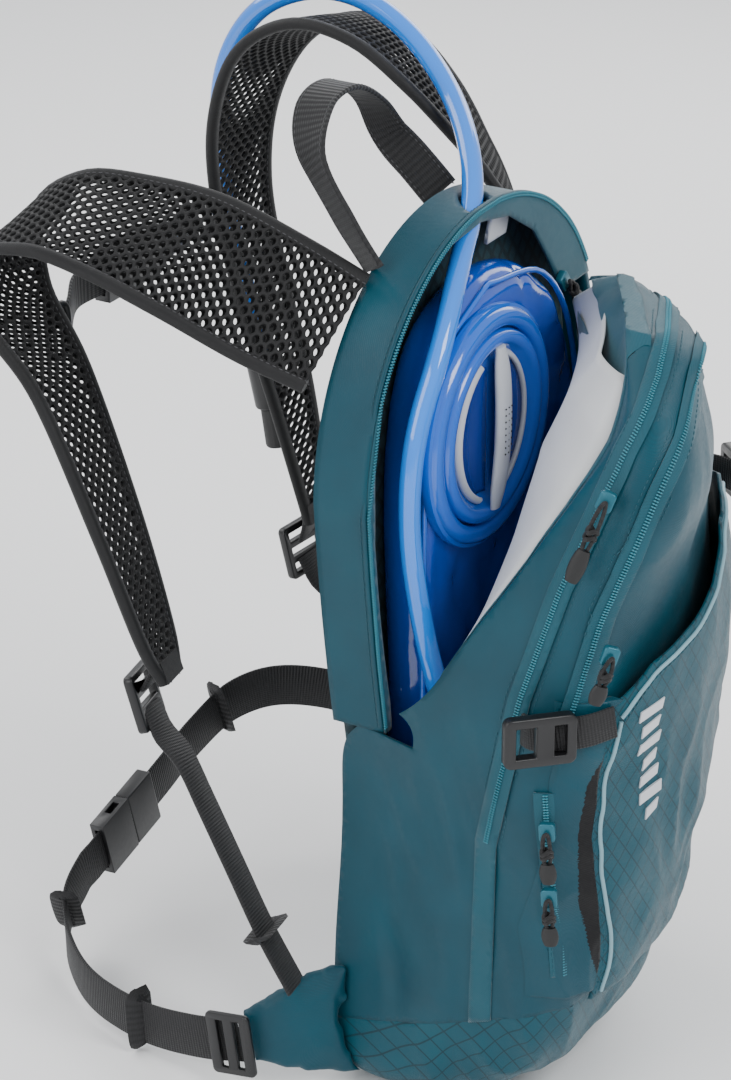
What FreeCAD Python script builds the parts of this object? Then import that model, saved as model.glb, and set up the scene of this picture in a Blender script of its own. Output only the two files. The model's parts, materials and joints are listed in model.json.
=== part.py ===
"""Hydration pack: a soft day pack with an open reservoir compartment, harness, belt and drinking hose.

Units are millimetres.  +X is the wearer's right, +Y faces the wearer's back, +Z is up.
The origin is the middle of the face that rests on the wearer's back.
"""
import FreeCAD, Part
import math
import os
import Sketcher

V = FreeCAD.Vector
DESIGN_HALF_WIDTH = 120.0
DESIGN_DEPTH = 165.0
DESIGN_HEIGHT = 440.0

SIZES = {
    # overall soft body
    "half_width": 120, "body_depth": 165, "body_height": 440, "strap_reach": 1,
    # back
    "pad_thick": 6, "panel_thick": 8, "panel_inset": 3, "shell_wall": 2.5, "gusset_depth": 31,
    "arch_centre": 97, "gusset_foot": -28,
    # reservoir
    "ring_radius": 62, "ring_wall": 12, "ring_depth": 8, "cap_gap": 0.6, "cap_depth": 9,
    "grip_width": 15, "grip_depth": 7, "bag_front": 43, "bag_back": 15,
    "fill_x": -27, "fill_z": 113, "hose_radius": 5.5, "port_gap": 2.2,
    # webbing and hardware
    "belt_width": 25, "belt_thick": 2, "lift_width": 20, "slot_gap": 1.2, "slot_height": 5,
    "frame_bar": 4, "frame_thick": 5, "strap_thick": 7, "chest_width": 20, "handle_width": 20,
    "tape_width": 12, "tape_thick": 1.2, "slider_thick": 4, "pull_thick": 3,
    "hook_thick": 6, "wing_thick": 6, "stash_gap": 13, "cloth": 2,
    "valve_radius": 9, "lever_thick": 4,
}

doc = FreeCAD.newDocument("hydration_pack")
sheet = doc.addObject("Spreadsheet::Sheet", "sizes")
for row, (alias, value) in enumerate(SIZES.items(), start=1):
    sheet.set("A%d" % row, alias.replace("_", " "))
    sheet.set("B%d" % row, str(value))
    sheet.setAlias("B%d" % row, alias)
doc.recompute()

nodes = []
HOSE_PORT = (8, -18, 218)


def size(alias):
    return float(getattr(sheet, alias))


def at(x, y, z):
    """A design point carried to the pack's own width, depth and height."""
    across = size("half_width") / DESIGN_HALF_WIDTH
    deep = size("body_depth") / DESIGN_DEPTH if y < 0 else size("strap_reach")
    tall = size("body_height") / DESIGN_HEIGHT
    return V(x * across, y * deep, z * tall)


def ats(points):
    return [at(*p) for p in points]


def facing(origin, along, normal):
    """A placement whose local X runs along and whose local Z is the normal."""
    z_axis = V(normal).normalize()
    x_axis = V(along) - z_axis * V(along).dot(z_axis)
    x_axis.normalize()
    return FreeCAD.Placement(origin, FreeCAD.Rotation(x_axis, z_axis.cross(x_axis), z_axis, "ZXY"))


# ---------------------------------------------------------------- feature makers

def plane_of(body, role):
    return [f for f in body.Origin.OriginFeatures if f.Role == role][0]


def new_body(label):
    body = doc.addObject("PartDesign::Body", label)
    body.Label = label
    nodes.append(body)
    return body


def sketch_on(body, role, edges):
    sketch = body.newObject("Sketcher::SketchObject", body.Name + "_outline")
    sketch.AttachmentSupport = (plane_of(body, role), [""])
    sketch.MapMode = "FlatFace"
    for edge in edges:
        sketch.addGeometry(edge)
    return sketch


def pad_sketch(body, sketch, length_cell):
    pad = body.newObject("PartDesign::Pad", body.Name + "_pad")
    pad.Profile = sketch
    pad.setExpression("Length", "sizes." + length_cell)
    sketch.Visibility = False
    return pad


def padded(label, edges, length_cell, placement, role="XY_Plane"):
    body = new_body(label)
    pad_sketch(body, sketch_on(body, role, edges), length_cell)
    body.Placement = placement
    return body


def soft(label, shape):
    """A soft solid, whose shape is a loft or sweep of its own."""
    feature = doc.addObject("Part::Feature", label)
    feature.Label = label
    feature.Shape = shape
    feature.Placement = FreeCAD.Placement()
    nodes.append(feature)
    return feature


def line(a, b):
    return Part.LineSegment(V(a[0], a[1], 0), V(b[0], b[1], 0))


def arc(a, b, c):
    return Part.Arc(V(a[0], a[1], 0), V(b[0], b[1], 0), V(c[0], c[1], 0))


def polygon(points):
    return [line(points[i], points[(i + 1) % len(points)]) for i in range(len(points))]


def rectangle(centre, length, width):
    cx, cy = centre
    dx, dy = length / 2, width / 2
    return polygon([(cx - dx, cy - dy), (cx + dx, cy - dy), (cx + dx, cy + dy), (cx - dx, cy + dy)])


def rounded(centre, length, width, radius):
    """A rectangle with round corners: four lines and four arcs."""
    cx, cy = centre
    dx, dy = length / 2, width / 2
    lean = radius * (1 - math.sqrt(0.5))
    edges = []
    for sx, sy in ((1, 1), (-1, 1), (-1, -1), (1, -1)):
        side = (cx + sx * dx, cy + sy * (dy - radius))
        middle = (cx + sx * (dx - lean), cy + sy * (dy - lean))
        cap = (cx + sx * (dx - radius), cy + sy * dy)
        edges.append(arc(side, middle, cap) if sx * sy > 0 else arc(cap, middle, side))
    edges.append(line((cx + dx - radius, cy + dy), (cx - dx + radius, cy + dy)))
    edges.append(line((cx - dx, cy + dy - radius), (cx - dx, cy - dy + radius)))
    edges.append(line((cx - dx + radius, cy - dy), (cx + dx - radius, cy - dy)))
    edges.append(line((cx + dx, cy - dy + radius), (cx + dx, cy + dy - radius)))
    return edges


def frame_plate(label, length, width, radius, slots, thick_cell, placement):
    """A moulded plate with rectangular slots through it."""
    edges = rounded((0, 0), length, width, radius)
    for centre, slot_length, slot_width in slots:
        edges += rectangle(centre, slot_length, slot_width)
    return padded(label, edges, thick_cell, placement)


# ---------------------------------------------------------------- lofts

def smooth(values, parts):
    """Values between hand-set stations, on a Catmull-Rom curve."""
    ends = [values[0] * 2 - values[1]] + list(values) + [values[-1] * 2 - values[-2]]
    out = []
    for i in range(1, len(ends) - 2):
        a, b, c, d = ends[i - 1:i + 3]
        for k in range(parts):
            u = k / parts
            out.append((b * 2 + (c - a) * u + (a * 2 - b * 5 + c * 4 - d) * (u * u)
                        + (b * 3 - a - c * 3 + d) * (u ** 3)) * 0.5)
    return out + [values[-1]]


def strip(points, widths, sides, thick, parts=3):
    """A flat band: points along its middle, its width and the direction across it at each."""
    middles = smooth(points, parts)
    breadths = smooth(widths, parts)
    across = smooth([V(*s).normalize() for s in sides], parts)
    wires = []
    for i, middle in enumerate(middles):
        ahead = middles[min(i + 1, len(middles) - 1)] - middles[max(i - 1, 0)]
        ahead.normalize()
        side = across[i] - ahead * across[i].dot(ahead)
        side.normalize()
        face = side.cross(ahead)
        half, up = side * (breadths[i] / 2), face * (thick / 2)
        corners = [middle + half + up, middle - half + up, middle - half - up, middle + half - up]
        wires.append(Part.makePolygon(corners + corners[:1]))
    return Part.makeLoft(wires, True, True)


def level_wire(points, z):
    """A closed outline at one height: a curve through the points and a straight back."""
    spots = [at(x, y, z) for x, y in points]
    curve = Part.BSplineCurve()
    curve.interpolate(spots)
    return Part.Wire([curve.toShape(), Part.makeLine(spots[-1], spots[0])])


def prism_y(points, y_near, y_far):
    """A block of an outline in X and Z, between two depths."""
    spots = [at(x, 0, z) + V(0, y_near, 0) for x, z in points]
    face = Part.Face(Part.makePolygon(spots + spots[:1]))
    return face.extrude(V(0, y_far - y_near, 0))


# ---------------------------------------------------------------- back panel and rear shell

def arch_outline(inset):
    """The pack's outline seen from the back: a round top, drawn-in sides and a flat foot."""
    half = size("half_width")
    tall = size("body_height") / DESIGN_HEIGHT
    wide = half / DESIGN_HALF_WIDTH
    centre = size("arch_centre") * tall
    radius = half - inset
    foot = -222 * tall + inset
    waist = (95 * wide - inset, -60 * tall)
    toe = (108 * wide - inset, foot)
    flank = (110.5 * wide - inset, 20 * tall)
    calf = (98.5 * wide - inset, -145 * tall)
    return [
        arc((radius, centre), (0, centre + radius), (-radius, centre)),
        arc((-radius, centre), (-flank[0], flank[1]), (-waist[0], waist[1])),
        arc((-waist[0], waist[1]), (-calf[0], calf[1]), (-toe[0], toe[1])),
        line((-toe[0], toe[1]), toe),
        arc(toe, calf, waist),
        arc(waist, flank, (radius, centre)),
    ]


def outline_prism(inset, y_near, y_far):
    edges = [edge.toShape() for edge in arch_outline(inset)]
    face = Part.Face(Part.Wire(Part.sortEdges(edges)[0]))
    face.rotate(V(0, 0, 0), V(1, 0, 0), 90)
    face.translate(V(0, y_near, 0))
    return face.extrude(V(0, y_far - y_near, 0))


def back_place():
    return FreeCAD.Placement(V(0, -size("pad_thick"), 0), FreeCAD.Rotation())


def make_back():
    inset = size("panel_inset")
    padded("back_panel", arch_outline(inset), "panel_thick", back_place(), "XZ_Plane")
    spine = rounded((0, 0), 44, 300, 20)
    padded("back_pad_spine", spine, "pad_thick", FreeCAD.Placement(), "XZ_Plane")
    tall = size("body_height") / DESIGN_HEIGHT
    wide = size("half_width") / DESIGN_HALF_WIDTH
    for side, sign in (("left", -1), ("right", 1)):
        edges = rounded((sign * 60 * wide, 62 * tall), 62 * wide, 150 * tall, 24)
        edges += rounded((sign * 54 * wide, -118 * tall), 58 * wide, 150 * tall, 24)
        padded("back_pads_" + side, edges, "pad_thick", FreeCAD.Placement(), "XZ_Plane")


def hose_bore():
    """The gap that the hose passes through in the top of the rear shell."""
    reach = V(44, 26, 22)
    start = at(*HOSE_PORT) - reach * 0.45
    return Part.makeCylinder(size("hose_radius") + size("port_gap"), reach.Length, start, reach)


# The mouth of the reservoir zipper: up the left side, over the top, and down to its slider.
ZIP_MOUTH = [(-92, -60), (-98, -10), (-108, 40), (-113, 80), (-113, 120), (-109, 145), (-98, 172), (-78, 193),
             (-45, 208), (-10, 211), (20, 205), (46, 189), (62, 169), (76, 149), (76, -60)]


def make_rear_shell():
    inset = size("panel_inset")
    depth = -size("gusset_depth")
    band = outline_prism(0, -2, depth).cut(outline_prism(inset, -1, depth - 1))
    foot = size("gusset_foot") * size("body_height") / DESIGN_HEIGHT
    below = Part.makeBox(600, 200, 600, V(-300, -150, foot - 600))
    soft("rear_shell", band.cut(below).cut(hose_bore()))
    tape = size("tape_thick")
    band = outline_prism(0.5, depth, depth - tape)
    closed_part = Part.makeBox(400, 100, 500, at(0, 0, 146) + V(0, -80, -500))
    soft("reservoir_zip_rear", band.cut(prism_y(ZIP_MOUTH, 0, -90)).cut(below).cut(closed_part))


# ---------------------------------------------------------------- front body

# Each row: height, then the outline from the rear left edge round the front to the rear right edge.
FRONT_ROWS = [
    (-224, [(-104, -3), (-108, -38), (-105, -62), (-92, -80), (-55, -90), (0, -92), (50, -74), (82, -50),
            (100, -30), (104, -3)]),
    (-205, [(-108, -3), (-113, -45), (-111, -80), (-98, -108), (-60, -118), (0, -116), (50, -95), (88, -66),
            (106, -38), (108, -3)]),
    (-165, [(-103, -3), (-111, -50), (-111, -97), (-100, -128), (-62, -141), (0, -138), (52, -113),
            (93, -78), (108, -43), (104, -3)]),
    (-110, [(-97, -3), (-108, -55), (-113, -98), (-103, -136), (-66, -154), (0, -151), (54, -125),
            (96, -86), (108, -46), (98, -3)]),
    (-66, [(-95, -3), (-107, -55), (-115, -100), (-106, -138), (-68, -157), (0, -158), (54, -134),
           (98, -94), (110, -50), (97, -3)]),
    (-34, [(-98, -10), (-111, -62), (-116, -104), (-107, -140), (-69, -160), (0, -162), (54, -138),
           (99, -98), (112, -52), (101, -10)]),
    (-10, [(-110, -44), (-114, -76), (-115, -112), (-108, -142), (-70, -163), (0, -165), (54, -141),
           (100, -101), (114, -60), (108, -31.6)]),
    (30, [(-112, -76), (-114, -98), (-113, -122), (-106, -147), (-68, -169), (0, -168), (56, -141),
          (101, -101), (115, -62), (112, -31.6)]),
    (75, [(-105, -104), (-109, -123), (-108, -141), (-100, -160), (-64, -174), (0, -163), (54, -135),
          (97, -96), (113, -60), (115, -31.6)]),
    (115, [(-94, -127), (-99, -142), (-98, -156), (-90, -171), (-56, -176), (0, -156), (48, -127),
           (86, -92), (102, -60), (106, -31.6)]),
    (145, [(-84, -142), (-89, -153), (-87, -163), (-78, -172), (-48, -171), (0, -150), (40, -120),
           (68, -88), (80, -62), (80, -36)]),
    (168, [(-65, -141), (-69, -150), (-66, -160), (-58, -165), (-36, -163), (-4, -146), (22, -122),
           (40, -98), (50, -80), (52, -62)]),
    (184, [(-38, -126), (-42, -133), (-40, -140), (-34, -144), (-22, -143), (-8, -134), (4, -122),
           (14, -110), (20, -100), (20, -92)]),
]
# Where the reservoir sleeve's wall meets the left and right sides, at each height.
SLEEVE_ROWS = [
    (-216, (-99, -48), (94, -48)), (-165, (-104, -58), (100, -56)), (-110, (-104, -62), (101, -60)),
    (-45, (-107, -62), (107, -58)), (-10, (-110, -62), (110, -54)), (30, (-108, -78), (110, -44)),
    (75, (-102, -106), (109, -38)), (115, (-91, -129), (99, -38)), (145, (-81, -143), (76, -42)),
    (166, (-62, -142), (50, -68)), (192, (-36, -130), (26, -92)),
]
# The main zipper's line down the left side and its mirror on the right.
ZIP_ROWS = [
    (-240, (-140, -97), (140, -46)), (-165, (-140, -97), (140, -48)), (-66, (-140, -100), (140, -52)),
    (17, (-140, -119), (140, -48)), (77, (-140, -140), (140, -48)), (145, (-120, -165), (120, -58)),
    (173, (-100, -172), (80, -88)), (230, (-100, -190), (80, -110)),
]


def front_rows(shift, stash):
    """Outline rows drawn in by a wall, and drawn back where the stash pocket stands in front."""
    rows = []
    for z, outline in FRONT_ROWS:
        centre_x = sum(p[0] for p in outline) / len(outline)
        centre_y = sum(p[1] for p in outline) / len(outline)
        back = 0 if z < -175 or z > 80 or not stash else size("stash_gap") * STASH_EASE.get(z, 1)
        points = []
        for i, (x, y) in enumerate(outline):
            ease = (0, 0, 0, 0.35, 1, 1, 0.8, 0.35, 0, 0)[i]
            reach = math.hypot(x - centre_x, y - centre_y)
            pull = 1 - shift / reach
            points.append((centre_x + (x - centre_x) * pull, centre_y + (y - centre_y) * pull + back * ease))
        rows.append((z, points))
    return rows


STASH_EASE = {-165: 0.45, -110: 0.85, 75: 0.75}


STASH_EASE = {-165: 0.45, -110: 0.85, 75: 0.75}


def body_loft(shift, stash=True):
    """The front body's outside, drawn in by shift all round, top and bottom too."""
    wires = [level_wire(points, z) for z, points in front_rows(shift, stash)]
    wires[0].translate(V(0, 0, shift))
    wires[-1].translate(V(0, 0, -shift))
    return Part.makeLoft(wires, True, False)


def wall_block(rows, near, far):
    """A block with straight sides at each height, from one depth offset of a wall to another."""
    wires = []
    for z, left, right in rows:
        a, b = at(left[0], left[1], z), at(right[0], right[1], z)
        corners = [a + V(0, near, 0), b + V(0, near, 0), b + V(0, far, 0), a + V(0, far, 0)]
        wires.append(Part.makePolygon(corners + corners[:1]))
    return Part.makeLoft(wires, True, True)


def upper_box(z):
    return Part.makeBox(800, 800, 800, V(-400, -400, z))


def make_front():
    tall = size("body_height") / DESIGN_HEIGHT
    cloth = size("cloth")
    tape = size("tape_thick")
    half_tape = size("tape_width") / 2
    gusset_end = -size("gusset_depth")
    foot = size("gusset_foot") * tall
    whole = body_loft(0)
    hollow = body_loft(cloth)
    back_room = outline_prism(size("panel_inset"), 20, gusset_end)
    rear_shell_room = outline_prism(-4, 20, gusset_end - 0.2).common(upper_box(foot - 0.2))
    sleeve_room = wall_block(SLEEVE_ROWS, 0, 200).common(upper_box(foot - 0.2))
    slider_room = prism_y([(46, 132), (99, 132), (99, 176), (46, 176)], gusset_end, gusset_end - 30)
    skin = whole.cut(hollow).cut(back_room).cut(rear_shell_room).cut(sleeve_room).cut(slider_room)
    base_room = Part.makeBox(600, 500, 300, V(-300, -400, -300))
    base_room.rotate(V(0, 0, 0), V(1, 0, 0), -17)
    base_room.translate(V(0, 0, -198.5 * tall))
    pocket_room = wall_block(ZIP_ROWS, 0, -300)
    soft("base_panel", skin.common(base_room))
    walls = skin.cut(base_room)
    soft("front_shell", walls.cut(pocket_room))
    soft("pocket_shell", walls.common(pocket_room))
    inside = body_loft(cloth + 0.3)
    soft("reservoir_divider", wall_block(SLEEVE_ROWS, 0, -1.5).common(inside).cut(slider_room))
    below_dome = upper_box(150 * tall)
    sleeve_side = wall_block(SLEEVE_ROWS, 200, -2.5)
    divider = wall_block(ZIP_ROWS, 0, -1.5).common(inside).cut(below_dome).cut(sleeve_side)
    soft("pocket_divider", max(divider.Solids, key=lambda s: s.Volume))
    zip_skin = body_loft(-0.2 - tape).cut(body_loft(-0.2))
    zip_skin = zip_skin.cut(rear_shell_room).cut(base_room).cut(outline_prism(-4, 20, gusset_end - 2))
    soft("main_zip", zip_skin.common(wall_block(ZIP_ROWS, half_tape, -half_tape)))
    pocket_zip = zip_skin.common(wall_block(POCKET_ZIP_ROWS, half_tape, -half_tape))
    pocket_zip = soft("pocket_zip", pocket_zip.common(upper_box(12 * tall)))
    edge_block = wall_block(SLEEVE_ROWS, 6, -8).common(upper_box(-12 * tall))
    soft("reservoir_zip_front", zip_skin.common(edge_block).cut(slider_room))
    side_zip = zip_skin.common(wall_block(SIDE_ZIP_ROWS, half_tape, -half_tape))
    side_box = Part.makeBox(200, 400, 106 * tall, at(-220, 0, -136) - V(0, 300, 0))
    side_zip = soft("side_zip", side_zip.common(side_box))
    make_stash(base_room, [side_zip.Shape, pocket_zip.Shape])


def make_stash(base_room, zips):
    """The stretch pocket on the front: a ripstop panel with a dark gusset down each side."""
    cloth = size("cloth")
    outer = body_loft(0, False)
    panel_room = prism_y(STASH_OUTLINE, 0, -300)
    front_half = Part.makeBox(800, 400, 800, at(0, -70, 0) - V(400, 400, 400))
    panel = outer.cut(body_loft(cloth, False)).cut(body_loft(-0.3)).cut(base_room)
    panel = panel.common(panel_room).common(front_half)
    soft("stash_panel", panel)
    gap = outer.cut(body_loft(-0.3)).cut(base_room).cut(panel_room).common(front_half).cut(zips)
    for side, x_low, x_high in (("left", -112, 0), ("right", 0, 112)):
        strip_room = prism_y([(x_low, -150), (x_high, -150), (x_high, 20), (x_low, 20)], 0, -300)
        soft("stash_gusset_" + side, gap.common(strip_room))


STASH_OUTLINE = [(-100, 14), (-80, 34), (-40, 50), (0, 76), (34, 85), (90, 60), (99, 30), (100, -60),
                 (90, -175), (-84, -175), (-86, -131), (-99, -57)]
POCKET_ZIP_ROWS = [
    (0, (-140, -141), (140, -80)), (65, (-140, -160), (140, -84)), (125, (-130, -184), (120, -92)),
    (153, (-110, -190), (100, -104)), (230, (-100, -200), (80, -140)),
]
SIDE_ZIP_ROWS = [(-150, (-140, -134), (0, -134)), (-110, (-140, -133), (0, -133)),
                 (-30, (-140, -127), (0, -127)), (0, (-140, -126), (0, -126))]


# ---------------------------------------------------------------- reservoir

BAG_OUTLINE = [(-20, 187), (38, 174), (74, 126), (84, 40), (80, -80), (68, -165), (20, -192),
               (-30, -192), (-75, -165), (-82, -80), (-84, 40), (-80, 124), (-60, 170)]


def bag_wire(shrink, depth):
    spots = [V(p.x, 0, p.z) for p in ats([(x, 0, z) for x, z in BAG_OUTLINE])]
    middle = sum(spots, V()) * (1 / len(spots))
    curve = Part.BSplineCurve()
    drawn = []
    for spot in spots:
        ray = spot - middle
        drawn.append(middle + ray * (1 - shrink / ray.Length) + V(0, -depth, 0))
    curve.interpolate(drawn, True)
    return Part.Wire([curve.toShape()])


def ring_centre():
    return V(at(size("fill_x"), 0, 0).x, -size("bag_front"), at(0, 0, size("fill_z")).z)


def disc(label, radius_cell, depth_cell, placement, hole_cell=None):
    """A round piece: one circle bound to its radius, and one for its bore."""
    body = new_body(label)
    sketch = sketch_on(body, "XY_Plane", [Part.Circle(V(), V(0, 0, 1), size(radius_cell))])
    sketch.addConstraint(Sketcher.Constraint("Coincident", 0, 3, -1, 1))
    sketch.addConstraint(Sketcher.Constraint("Radius", 0, size(radius_cell)))
    sketch.setExpression("Constraints[1]", "sizes." + radius_cell)
    if hole_cell:
        bore = size(radius_cell) - size(hole_cell)
        sketch.addGeometry(Part.Circle(V(), V(0, 0, 1), bore))
        sketch.addConstraint(Sketcher.Constraint("Coincident", 1, 3, -1, 1))
        sketch.addConstraint(Sketcher.Constraint("Radius", 1, bore))
        sketch.setExpression("Constraints[3]", "sizes.%s - sizes.%s" % (radius_cell, hole_cell))
    pad_sketch(body, sketch, depth_cell)
    body.Placement = placement
    return body


def make_reservoir():
    back, front = size("bag_back"), size("bag_front")
    middle = (back + front) / 2
    wires = [bag_wire(20, back), bag_wire(3, middle - 5), bag_wire(3, middle + 5), bag_wire(22, front)]
    bag = Part.makeLoft(wires, True, False)
    proud = Part.makeBox(400, 40, 600, V(-200, -front - 40, -300))
    soft("reservoir_bag", bag.cut(proud))
    centre = ring_centre()
    forward = V(0, -1, 0)
    disc("filler_ring", "ring_radius", "ring_depth", facing(centre, V(1, 0, 0), forward), "ring_wall")
    bore = size("ring_radius") - size("ring_wall")
    cap = new_body("filler_cap")
    sketch = sketch_on(cap, "XY_Plane", [Part.Circle(V(), V(0, 0, 1), bore - size("cap_gap"))])
    sketch.addConstraint(Sketcher.Constraint("Coincident", 0, 3, -1, 1))
    sketch.addConstraint(Sketcher.Constraint("Radius", 0, bore - size("cap_gap")))
    sketch.setExpression("Constraints[1]", "sizes.ring_radius - sizes.ring_wall - sizes.cap_gap")
    pad_sketch(cap, sketch, "cap_depth")
    cap.Placement = facing(centre + forward * 0.4, V(1, 0, 0), forward)
    grip_length = 2 * bore - 14
    grip_start = centre + forward * (0.4 + size("cap_depth"))
    grip = rounded((0, 0), grip_length, size("grip_width"), 5)
    padded("cap_grip", grip, "grip_depth", facing(grip_start, V(0, 0, 1), forward))
    outlet = at(*HOSE_ROUTE[0])
    start_run = at(*HOSE_ROUTE[1]) - outlet
    start_run.normalize()
    elbow = outlet - start_run * 14
    collar = Part.makeCylinder(11, 12, V(elbow.x, -front, elbow.z), forward)
    neck = Part.makeCylinder(8, 16, outlet - start_run * 16, start_run)
    fitting = collar.fuse(neck).cut(doc.getObject("reservoir_bag").Shape).removeSplitter()
    soft("reservoir_outlet", fitting)
    hang = strip(ats([(24, -22, 190), (24, -24, 202), (24, -26, 208)]), [20, 20, 20], [(1, 0, 0)] * 3, 2)
    soft("reservoir_hanger", hang.cut(doc.getObject("reservoir_bag").Shape))


# ---------------------------------------------------------------- drinking hose

# Points of the hose's route, set by hand: up inside the pack, out of the top, over the right shoulder.
HOSE_ROUTE = [
    (-52, -52, -92), (-62, -52, -56), (-80, -50, -12), (-93, -46, 36), (-99, -42, 86), (-95, -43, 132),
    (-72, -46, 172), (-36, -34, 196), (2, -22, 214), (34, -2, 233), (62, 26, 251), (76, 58, 272),
    (82, 92, 284), (86, 126, 280), (88, 158, 262), (90, 179, 226), (93, 182, 182), (97, 179, 140),
    (102, 172, 98), (106, 165, 56),
]


def rounded_path(points):
    """Straight runs joined by arcs that are tangent to both."""
    radii = []
    edges = []
    start = points[0]
    for i in range(1, len(points) - 1):
        back, ahead = points[i - 1] - points[i], points[i + 1] - points[i]
        shorter = min(back.Length, ahead.Length)
        half_turn = (math.pi - back.getAngle(ahead)) / 2
        cut = 0.45 * shorter
        radii.append(cut / math.tan(half_turn))
        back.normalize()
        ahead.normalize()
        enter, leave = points[i] + back * cut, points[i] + ahead * cut
        toward = back + ahead
        toward.normalize()
        reach = radii[-1] / math.cos(half_turn) - radii[-1]
        edges.append(Part.LineSegment(start, enter).toShape())
        edges.append(Part.Arc(enter, points[i] + toward * reach, leave).toShape())
        start = leave
    edges.append(Part.LineSegment(start, points[-1]).toShape())
    return Part.Wire(edges), radii


def make_hose():
    points = ats(HOSE_ROUTE)
    path, radii = rounded_path(points)
    print("hose length %.0f, radii %s" % (path.Length, " ".join("%.0f" % r for r in radii)))
    radius = size("hose_radius")
    ring = Part.Wire(Part.makeCircle(radius, points[0], points[1] - points[0]))
    tube = path.makePipeShell([ring], True, True)
    print("hose volume %.3f of section times length" % (tube.Volume / (math.pi * radius ** 2 * path.Length)))
    soft("drink_hose", tube)
    tip, run = points[-1], points[-1] - points[-2]
    run.normalize()
    side = V(1, 0, 0)
    body_length = 26
    body = Part.makeCylinder(size("valve_radius"), body_length, tip, run)
    soft("bite_valve_body", body)
    nozzle = Part.makeCone(6.5, 8, 24, tip + run * body_length, run)
    soft("bite_valve_tip", nozzle)
    hinge = tip + run * (body_length / 2) + side * (size("valve_radius") + 1.2)
    lever = rounded((0, 0), 26, 9, 3)
    padded("shutoff_lever", lever, "lever_thick", facing(hinge, run, side))


# ---------------------------------------------------------------- harness

WIDE = [66, 73, 77, 77, 74, 70, 60, 50, 44, 36, 22]
LEFT_STRAP = [(-93, 1, 175), (-98, 34, 188), (-103, 75, 204), (-108, 112, 213), (-114, 146, 216),
              (-119, 172, 202), (-124, 168, 172), (-124, 140, 133), (-123, 110, 62), (-121, 90, 4),
              (-120, 82, -18)]
LEFT_SIDES = [(0.64, 0, 0.77), (0.72, 0.1, 0.66), (0.83, 0.12, 0.54), (0.92, 0.12, 0.36),
              (0.96, 0.12, 0.24), (0.98, 0.05, 0.1), (1, -0.05, 0), (1, 0, -0.03), (1, 0.05, -0.06),
              (1, 0.1, -0.1), (1, 0.15, -0.1)]
RIGHT_STRAP = [(93, 1, 175), (90, 22, 208), (86, 48, 240), (84, 78, 262), (84, 112, 265),
               (86, 144, 246), (89, 164, 206), (92, 168, 160), (98, 161, 108), (108, 148, 40),
               (118, 137, -36)]
RIGHT_SIDES = [(0.64, 0, -0.77), (0.78, 0, -0.6), (0.92, 0, -0.38), (0.97, 0, -0.24), (0.98, -0.05, -0.2),
               (0.99, -0.1, -0.1), (1, -0.1, 0), (1, -0.1, 0.03), (1, -0.12, 0.05), (1, -0.15, 0.08),
               (1, -0.15, 0.1)]
LEFT_LOCK = (-122, 94, -30)
RIGHT_LOCK = (119, 145, -56)
LOCK_AXES = {"left": ((0, -0.3, -0.95), (-0.25, 0.92, -0.3)), "right": ((0.05, -0.2, -0.98), (0.2, 0.95, -0.2))}
LEFT_WEB = [(-124, 84, -48), (-127, 70, -58), (-128, 58, -78), (-129, 40, -110), (-129, 23, -142),
            (-127, 6, -172)]
RIGHT_WEB = [(120, 136, -74), (122, 124, -84), (124, 102, -100), (128, 66, -126), (129, 30, -150),
             (127, 6, -172)]


def make_straps():
    thick = size("strap_thick")
    bar = outline_prism(0, 10, -40)
    left = strip(ats(LEFT_STRAP), WIDE, LEFT_SIDES, thick).cut(bar)
    right = strip(ats(RIGHT_STRAP), WIDE, RIGHT_SIDES, thick).cut(bar)
    soft("shoulder_strap_left", left)
    soft("shoulder_strap_right", right)
    handle = ats([(-64, -6, 196), (-66, 12, 222), (-62, 32, 250), (-42, 42, 268), (-14, 44, 270),
                  (10, 42, 256), (20, 36, 236), (22, 22, 222), (22, 12, 216)])
    sides = [(0.4, 0.9, 0)] * 3 + [(0, 1, 0)] * 3 + [(-0.3, 0.95, 0)] * 3
    width = size("handle_width")
    soft("haul_handle", strip(handle, [width] * 9, sides, 2).cut(outline_prism(0, 10, -40)))


def make_locks():
    """Ladder locks at the strap tips, and the webbing that runs from them to the hip wings."""
    width = size("lift_width")
    bar = size("frame_bar")
    slot = size("slot_height")
    long = 4 * bar + 3 * slot
    slots = [((x * (slot + bar), 0), slot, width + 2 * size("slot_gap")) for x in (-1, 0, 1)]
    broad = width + 2 * size("slot_gap") + 2 * bar
    for side, spot in (("left", LEFT_LOCK), ("right", RIGHT_LOCK)):
        down, outward = LOCK_AXES[side]
        place = facing(at(*spot), V(*down), V(*outward))
        frame_plate("ladderlock_" + side, long, broad, 3, slots, "frame_thick", place)
    for side, route, sides in (("left", LEFT_WEB, (1, 0.2, 0)), ("right", RIGHT_WEB, (1, -0.2, 0))):
        soft("adjust_webbing_" + side, strip(ats(route), [width] * 6, [sides] * 6, size("belt_thick")))


def make_wings():
    """Hip wings at the lower corners, with a slider frame where the belt joins each one."""
    for side, sign in (("left", -1), ("right", 1)):
        points = ats([(sign * 106, -16, -194), (sign * 118, 0, -196), (sign * 130, 14, -199),
                      (sign * 136, 30, -203)])
        wing = strip(points, [64, 58, 44, 28], [(0, 0.2, 1)] * 4, size("wing_thick"))
        wing = wing.cut(outline_prism(-1, 20, -40)).cut(body_loft(-0.4))
        wing = wing.cut(doc.getObject("adjust_webbing_" + side).Shape)
        soft("hip_wing_" + side, max(wing.Solids, key=lambda s: s.Volume))


LEFT_BELT = [(-141, 31, -204), (-141, 58, -210), (-136, 94, -215), (-122, 134, -216), (-102, 162, -211),
             (-82, 177, -201)]
RIGHT_BELT = [(92, 178, -150), (118, 158, -147), (136, 120, -154), (141, 76, -172), (141, 31, -203)]
BELT_LINE = V(0.97, 0.03, 0.235)
BELT_MIDDLE = (-15, 182, -178)


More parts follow.
